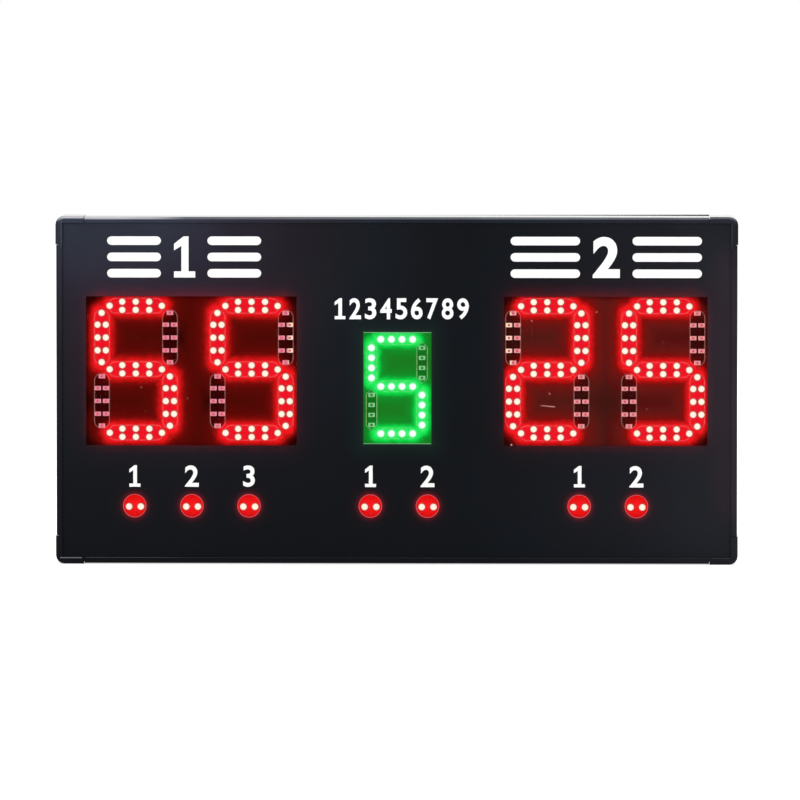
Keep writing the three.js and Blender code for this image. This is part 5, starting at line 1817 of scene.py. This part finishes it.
@dataclass
class Insides:
    """Spacer strips, control board, radio module and wiring.

    Args:
        plain: pieces with one finish.
        board_backs_mm: from the face of a green board to the back of its parts.
    """

    plain: tuple[tuple[Finish, tuple[str, ...]], ...] = (
        (BLACK_ABS, tuple(f"spacer_strip_{at}_{end}" for at in ("home", "guest", "inning")
                          for end in ("upper", "lower"))),
        (WHITE_ABS, tuple(f"control_board_support_{number}" for number in range(1, 5))),
        (GREY_PVC, tuple(f"ribbon_{at}" for at in ("home_tens", "home_ones", "inning", "guest_tens",
                                                   "guest_ones"))),
        (BLACK_PVC, ("power_lead_inlet", "power_lead_board")),
    )
    board_backs_mm: tuple[tuple[str, float], ...] = (("control_board", 1.6), ("radio_module", 1.2))

    def build(self) -> None:
        """Dresses everything between the front and the rear cover."""
        for finish, nodes in self.plain:
            for node in nodes:
                dress(node, finish)
        for board, back in self.board_backs_mm:
            face = box_mm(board)[1].y - back
            name = f"fr4_green_mask_{board}"
            dress(board, CircuitBoard(name, "1f6138", 0.4, 0.4, relief=Grain(0.8, 0, 0.02), face_mm=face))
        LOG.info("insides dressed")


@dataclass
class PanHeadScrew:
    """A pan head screw with a cross recess that stands for a plain one of the frame.

    Args:
        node: the plain screw.
        head_radius_mm: radius of the head.
        head_rise_mm: height of the head.
        shank_radius_mm: radius of the shank.
        recess_share: length of the cross as a share of the head.
        recess_width_mm: width of its arms.
        recess_deep_share: its depth as a share of the head's height.
        recess_taper: length of its arms above the head and at its floor, as shares.
        recess_above_mm: how far the cutter reaches above the head.
        crown: the head's rings, as shares of its radius outward and of its height down.
        seat_share: the head's radius where it sits, as a share.
        tip_mm: length of the shank's taper.
        tip_share: the shank's radius at its end, as a share.
        sides: how round it is.
    """

    node: str
    head_radius_mm: float
    head_rise_mm: float
    shank_radius_mm: float
    recess_share: float = 0.62
    recess_width_mm: float = 1.0
    recess_deep_share: float = 0.75
    recess_taper: Spot = (1.15, 0.45)
    recess_above_mm: float = 0.6
    crown: tuple[Spot, ...] = ((0.5, 0.05), (0.78, 0.2), (0.94, 0.45), (1.0, 0.75))
    seat_share: float = 0.98
    tip_mm: float = 0.5
    tip_share: float = 0.6
    sides: int = 40

    def turned(self, spot: Spot, face: float, foot: float) -> bpy.types.Mesh:
        """The body of the screw, as turned on a lathe.

        Args:
            spot: its axis, across and up.
            face: Y of the head's face.
            foot: Y of the shank's end.
        Returns:
            The mesh.
        """
        head, rise, shank = self.head_radius_mm, self.head_rise_mm, self.shank_radius_mm
        profile = [(head * out, face - down * rise) for out, down in self.crown]
        profile += [(head * self.seat_share, face - rise), (shank, face - rise),
                    (shank, foot + self.tip_mm), (shank * self.tip_share, foot)]
        shape = Mould()
        rings = [shape.ring(circle(*spot, reach, self.sides), deep) for reach, deep in profile]
        shape.join(rings)
        for ring, deep in ((rings[0], face), (rings[-1], foot)):
            shape.fan(ring, shape.vert(spot[0], deep, spot[1]))
        return shape.mesh("blank")

    def cutter(self, spot: Spot, face: float, turn: float) -> bpy.types.Object:
        """A tapered bar that cuts one half of the cross.

        Args:
            spot: the screw's axis, across and up.
            face: Y of the head's face.
            turn: the bar's direction.
        Returns:
            The bar, as an object of its own.
        """
        reach = self.head_radius_mm * self.recess_share
        cos, sin = math.cos(turn), math.sin(turn)
        shape = Mould()
        rings = []
        depths = (-self.recess_above_mm, self.head_rise_mm * self.recess_deep_share)
        for share, depth in zip(self.recess_taper, depths):
            long, wide = reach * share, self.recess_width_mm / 2 * (0.5 + share / 2)
            corners = Area(-long, long, -wide, wide).corners()
            around = [(spot[0] + x * cos - z * sin, spot[1] + x * sin + z * cos) for x, z in corners]
            rings.append(shape.ring(around, face - depth))
        shape.solid(rings)
        return link("cutter", shape.mesh("cutter"))

    def build(self, turn: float) -> None:
        """Builds the screw in place of its node.

        Args:
            turn: how far the cross is turned.
        """
        low, high = box_mm(self.node)
        spot = ((low.x + high.x) / 2, (low.z + high.z) / 2)
        blank = link("blank", self.turned(spot, high.y, low.y))
        tools = [self.cutter(spot, high.y, turn + quarter) for quarter in (0, math.pi / 2)]
        for tool in tools:
            cut = blank.modifiers.new("cut", "BOOLEAN")
            configure(cut, operation="DIFFERENCE", object=tool, solver="EXACT")
        mesh = baked(blank)
        for helper in [blank, *tools]:
            bpy.data.objects.remove(helper)
        piece = place_piece(f"cross_{self.node}", mesh, ZINC, Slot.ZINC, Body.HOUSING)
        smooth(piece, SCREW_EDGE_DEG)
        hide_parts(self.node)


@dataclass
class RearPanel:
    """The rear cover with its screws, the power inlet and the power switch.

    Args:
        edges: its nodes with their finishes and the width of their broken edges.
        screw_count: how many screws hold the cover.
        screw_mm: radius and height of a screw's head, and radius of its shank.
        mark_reach_mm: from the rocker's middle to its marks.
        mark_half_mm: half the height of a mark.
        mark_sides: how round the round mark is.
        line_mm: width of the marks' lines, the upright one and the round one.
        off_face_mm: Y of the marks before they are laid on the rocker.
        print_mm: how far a mark's back and its face stand off the rocker.
    """

    edges: tuple[tuple[str, Finish, float], ...] = (
        ("rear_cover", COVER_STEEL, 0.15), ("dc_socket", BLACK_ABS, 0.12), ("dc_socket_nut", ZINC, 0.15),
        ("power_switch_body", BLACK_ABS, 0.2), ("power_switch_rocker", BLACK_ABS, 0.2),
    )
    screw_count: int = 8
    screw_mm: Place = (2.8, 1.8, 1.4)
    mark_reach_mm: float = 4.6
    mark_half_mm: float = 1.1
    mark_sides: int = 24
    line_mm: Spot = (0.5, 0.4)
    off_face_mm: Spot = (21.0, 21.05)
    print_mm: Spot = (0.01, 0.04)

    def lay_on_rocker(self, name: str, shape: Mould) -> None:
        """Lays a mark on the rocker's curved face.

        Args:
            name: the piece's name.
            shape: the mark, flat and behind the rocker's face.
        """
        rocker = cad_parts["power_switch_rocker"].data
        points = [vert.co.copy() for vert in rocker.vertices]
        tree = BVHTree.FromPolygons(points, [tuple(face.vertices) for face in rocker.polygons])
        inward = Vector((0, -1, 0))
        middle = sum(self.off_face_mm) / 2 * MM
        for vert in shape.form.verts:
            lift = self.print_mm[0] if vert.co.y < middle else self.print_mm[1]
            start = Vector((vert.co.x, self.off_face_mm[0] * MM, vert.co.z))
            vert.co = tree.ray_cast(start, inward)[0] - inward * lift * MM
        place_piece(name, shape.mesh(name), MARK_INK, Slot.PRINT, Body.ROCKER)

    def build(self) -> None:
        """Builds and dresses the rear."""
        for node, finish, edge in self.edges:
            dress(node, finish, edge)
        chance = random.Random(11)
        for number in range(1, self.screw_count + 1):
            screw = PanHeadScrew(f"rear_cover_screw_{number}", *self.screw_mm)
            screw.build(chance.uniform(0, math.pi / 2))
        low, high = box_mm("power_switch_rocker")
        across, up = (low.x + high.x) / 2, (low.z + high.z) / 2
        top, foot, half = up + self.mark_reach_mm, up - self.mark_reach_mm, self.mark_half_mm
        upright, rounded = self.line_mm
        on_mark, off_mark = Mould(), Mould()
        line = Area(across - upright / 2, across + upright / 2, top - half, top + half)
        on_mark.plate(line.corners(), *self.off_face_mm)
        radii = (half, half - rounded)
        outer, inner = (circle(across, foot, radius, self.mark_sides) for radius in radii)
        off_mark.band(outer, inner, *self.off_face_mm)
        self.lay_on_rocker("rocker_mark_on", on_mark)
        self.lay_on_rocker("rocker_mark_off", off_mark)
        LOG.info("rear panel with %d screws", self.screw_count)


@dataclass
class Hangers:
    """The two swivelling hanger brackets and their pivot screws.

    Args:
        edge_mm: width of the brackets' broken edges.
        screw_mm: radius and height of a screw's head, and radius of its shank.
        recess_mm: width of the arms of its cross.
        turns: how far the cross of each screw is turned.
    """

    edge_mm: float = 0.2
    screw_mm: Place = (4.0, 2.0, 2.0)
    recess_mm: float = 1.3
    turns: tuple[tuple[str, float], ...] = (("left", 0.4), ("right", 1.1))

    def build(self) -> None:
        """Builds and dresses the hangers."""
        for side, turn in self.turns:
            dress(f"hanger_bracket_{side}", ZINC, self.edge_mm)
            screw = PanHeadScrew(f"hanger_screw_{side}", *self.screw_mm, recess_width_mm=self.recess_mm)
            screw.build(turn)
        LOG.info("hangers dressed")


def seen(nodes: Nodes) -> Socket:
    """One for rays from the camera, from gloss and through clear parts, and nought for light on surfaces.

    Args:
        nodes: the nodes of the floor or of the surroundings.
    Returns:
        The share.
    """
    camera, gloss, clear = (
        nodes.add("ShaderNodeLightPath", output=f"Is {kind} Ray")
        for kind in ("Camera", "Glossy", "Transmission")
    )
    either = nodes.add("ShaderNodeMath", {0: camera, 1: gloss}, operation="MAXIMUM")
    return nodes.add("ShaderNodeMath", {0: either, 1: clear}, operation="MAXIMUM")


@dataclass(frozen=True)
class FloorPaint(Finish):
    """Pale matt floor that shows white and keeps the object's shadow."""

    strength: float = 0.6

    def paint(self, nodes: Nodes) -> dict:
        """Lights the floor for the rays that see it, and not for what stands on it."""
        strength = nodes.add("ShaderNodeMath", {0: seen(nodes), 1: self.strength}, operation="MULTIPLY")
        return {"Emission Color": srgb("ffffff"), "Emission Strength": strength}


@dataclass(frozen=True)
class SoftLamp:
    """One square soft light, in metres and watts.

    Args:
        name: its name.
        place: where it stands.
        aim: what it points at.
        size: its side.
        power: its power.
        mirrored: whether gloss shows it.
    """

    name: str
    place: Place
    aim: Place
    size: float
    power: float
    mirrored: bool = True

    def build(self) -> None:
        """Hangs the lamp."""
        data = bpy.data.lights.new(self.name, "AREA")
        light = link(self.name, configure(data, shape="SQUARE", size=self.size, energy=self.power))
        ahead = Vector(self.aim) - Vector(self.place)
        turn = ahead.to_track_quat("-Z", "Y").to_euler()
        configure(light, location=self.place, visible_glossy=self.mirrored, rotation_euler=turn)


@dataclass
class Studio:
    """Floor, dark cards, lights, white surroundings and the camera at the photograph's viewing angle.

    Args:
        azimuth_deg: how far the camera stands to the right.
        elevation_deg: how far it stands up.
        distance_mm: how far away it is.
        lens_per_mm: focal length for each millimetre of distance.
        sensor_mm: width of its sensor.
        aim_mm: what it points at.
        clip_end: how far it sees.
        floor_half: half the floor's side.
        card_away: how far to each side a card stands.
        card_half: half its width.
        card_height: its height.
        world_light: strength of the surroundings as light on surfaces.
        lamps: the lights.
    """

    azimuth_deg: float = 1.5
    elevation_deg: float = 3.2
    distance_mm: float = 8000.0
    lens_per_mm: float = 0.0654
    sensor_mm: float = 36.0
    aim_mm: Place = (2.4, -20.0, 113.5)
    clip_end: float = 50.0
    floor_half: float = 12.0
    card_away: float = 3.0
    card_half: float = 2.0
    card_height: float = 2.0
    world_light: float = 0.5
    lamps: tuple[SoftLamp, ...] = (
        SoftLamp("key", (-1.1, -1.9, 1.1), (-0.1, 0, 0.2), 1.0, 22),
        SoftLamp("fill", (2.0, -1.8, 1.2), (0, 0, 0.1), 1.6, 16, mirrored=False),
        SoftLamp("rear", (0.8, 2.4, 1.6), (0, 0, 0.1), 1.6, 22),
        SoftLamp("top", (0.6, 0.6, 1.8), (0, 0, 0.2), 1.2, 16),
    )

    def sheet(self, name: str, corners: Sequence[Place], finish: Finish) -> bpy.types.Object:
        """Adds a flat sheet that isn't part of the object.

        Args:
            name: its name.
            corners: its four corners in order.
            finish: its finish.
        Returns:
            The sheet.
        """
        mesh = bpy.data.meshes.new(name)
        mesh.from_pydata(corners, [], [(0, 1, 2, 3)])
        mesh.materials.append(finish.material())
        surface = link(name, mesh)
        surface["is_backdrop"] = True
        return surface

    def sheets(self) -> None:
        """Lays the floor, and stands a dark card at each side, so that the top mirrors no white from there.

        Only gloss sees the cards.
        """
        half = self.floor_half
        floor = [(-half, -half, 0), (half, -half, 0), (half, half, 0), (-half, half, 0)]
        self.sheet("floor", floor, FloorPaint("floor_pale", "f2f2f1", 0.9, 0.0))
        half, high = self.card_half, self.card_height
        for across in (-self.card_away, self.card_away):
            corners = [(across, -half, 0), (across, half, 0), (across, half, high), (across, -half, high)]
            card = self.sheet("flag", corners, FLAG_CLOTH)
            for rays in ("camera", "diffuse", "transmission", "shadow"):
                setattr(card, f"visible_{rays}", False)

    def surroundings(self) -> None:
        """Sets a soft grey light that is seen as white."""
        world = configure(bpy.data.worlds.new("studio"), use_nodes=True)
        bpy.context.scene.world = world
        nodes = Nodes(world.node_tree)
        strength = nodes.add("ShaderNodeMapRange", {"Value": seen(nodes), "To Min": self.world_light})
        nodes.feed(nodes.shader, {"Color": srgb("ffffff"), "Strength": strength})

    def camera(self) -> None:
        """Sets the camera so that the front fills the picture as in the photograph."""
        data = bpy.data.cameras.new("camera")
        lens = self.distance_mm * self.lens_per_mm
        configure(data, sensor_width=self.sensor_mm, lens=lens, clip_end=self.clip_end)
        azimuth, elevation = math.radians(self.azimuth_deg), math.radians(self.elevation_deg)
        flat = math.cos(elevation)
        away = Vector((math.sin(azimuth) * flat, -math.cos(azimuth) * flat, math.sin(elevation)))
        view = link("camera", data)
        view.location = mm(*self.aim_mm) + away * self.distance_mm * MM
        view.rotation_euler = (-away).to_track_quat("-Z", "Y").to_euler()
        bpy.context.scene.camera = view

    def build(self) -> None:
        """Builds the studio."""
        self.sheets()
        self.surroundings()
        for lamp in self.lamps:
            lamp.build()
        self.camera()
        bpy.context.scene.view_settings.view_transform = "Standard"
        LOG.info("studio set")


def corners(bounds: tuple[Vector, Vector]) -> list[list[float]]:
    """Two corners as plain lists of numbers."""
    return [[round(part, 6) for part in corner] for corner in bounds]


def main() -> None:
    """Builds and dresses every sub-assembly, then sets the studio."""
    logging.basicConfig(level=logging.INFO, format="%(name)s: %(message)s")
    cad_box = corners(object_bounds())
    digits = [
        DigitModule("home_tens", Shown.FIVE, SCORE_LAYOUT, RED),
        DigitModule("home_ones", Shown.FIVE, SCORE_LAYOUT, RED),
        DigitModule("guest_tens", Shown.TWO, SCORE_LAYOUT, GUEST_RED),
        DigitModule("guest_ones", Shown.FIVE, SCORE_LAYOUT, replace(GUEST_RED, stops=GUEST_ONES_GLOW)),
        DigitModule("inning", Shown.FIVE, INNING_LAYOUT, GREEN),
    ]
    for left, right in ((0, 1), (2, 3)):
        digits[left].beside, digits[right].beside = digits[right], digits[left]
        digits[left].fills_joint = True
    lamps = [LampRow("ball", 3), LampRow("strike", 2), LampRow("out", 2)]
    parts = [Housing(), FrontPanel(lamps), *digits, *lamps, Insides(), RearPanel(), Hangers(), Studio()]
    for part in parts:
        part.build()
    {"cad": cad_box, "visual": corners(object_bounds())}


if __name__ == "__main__":
    main()
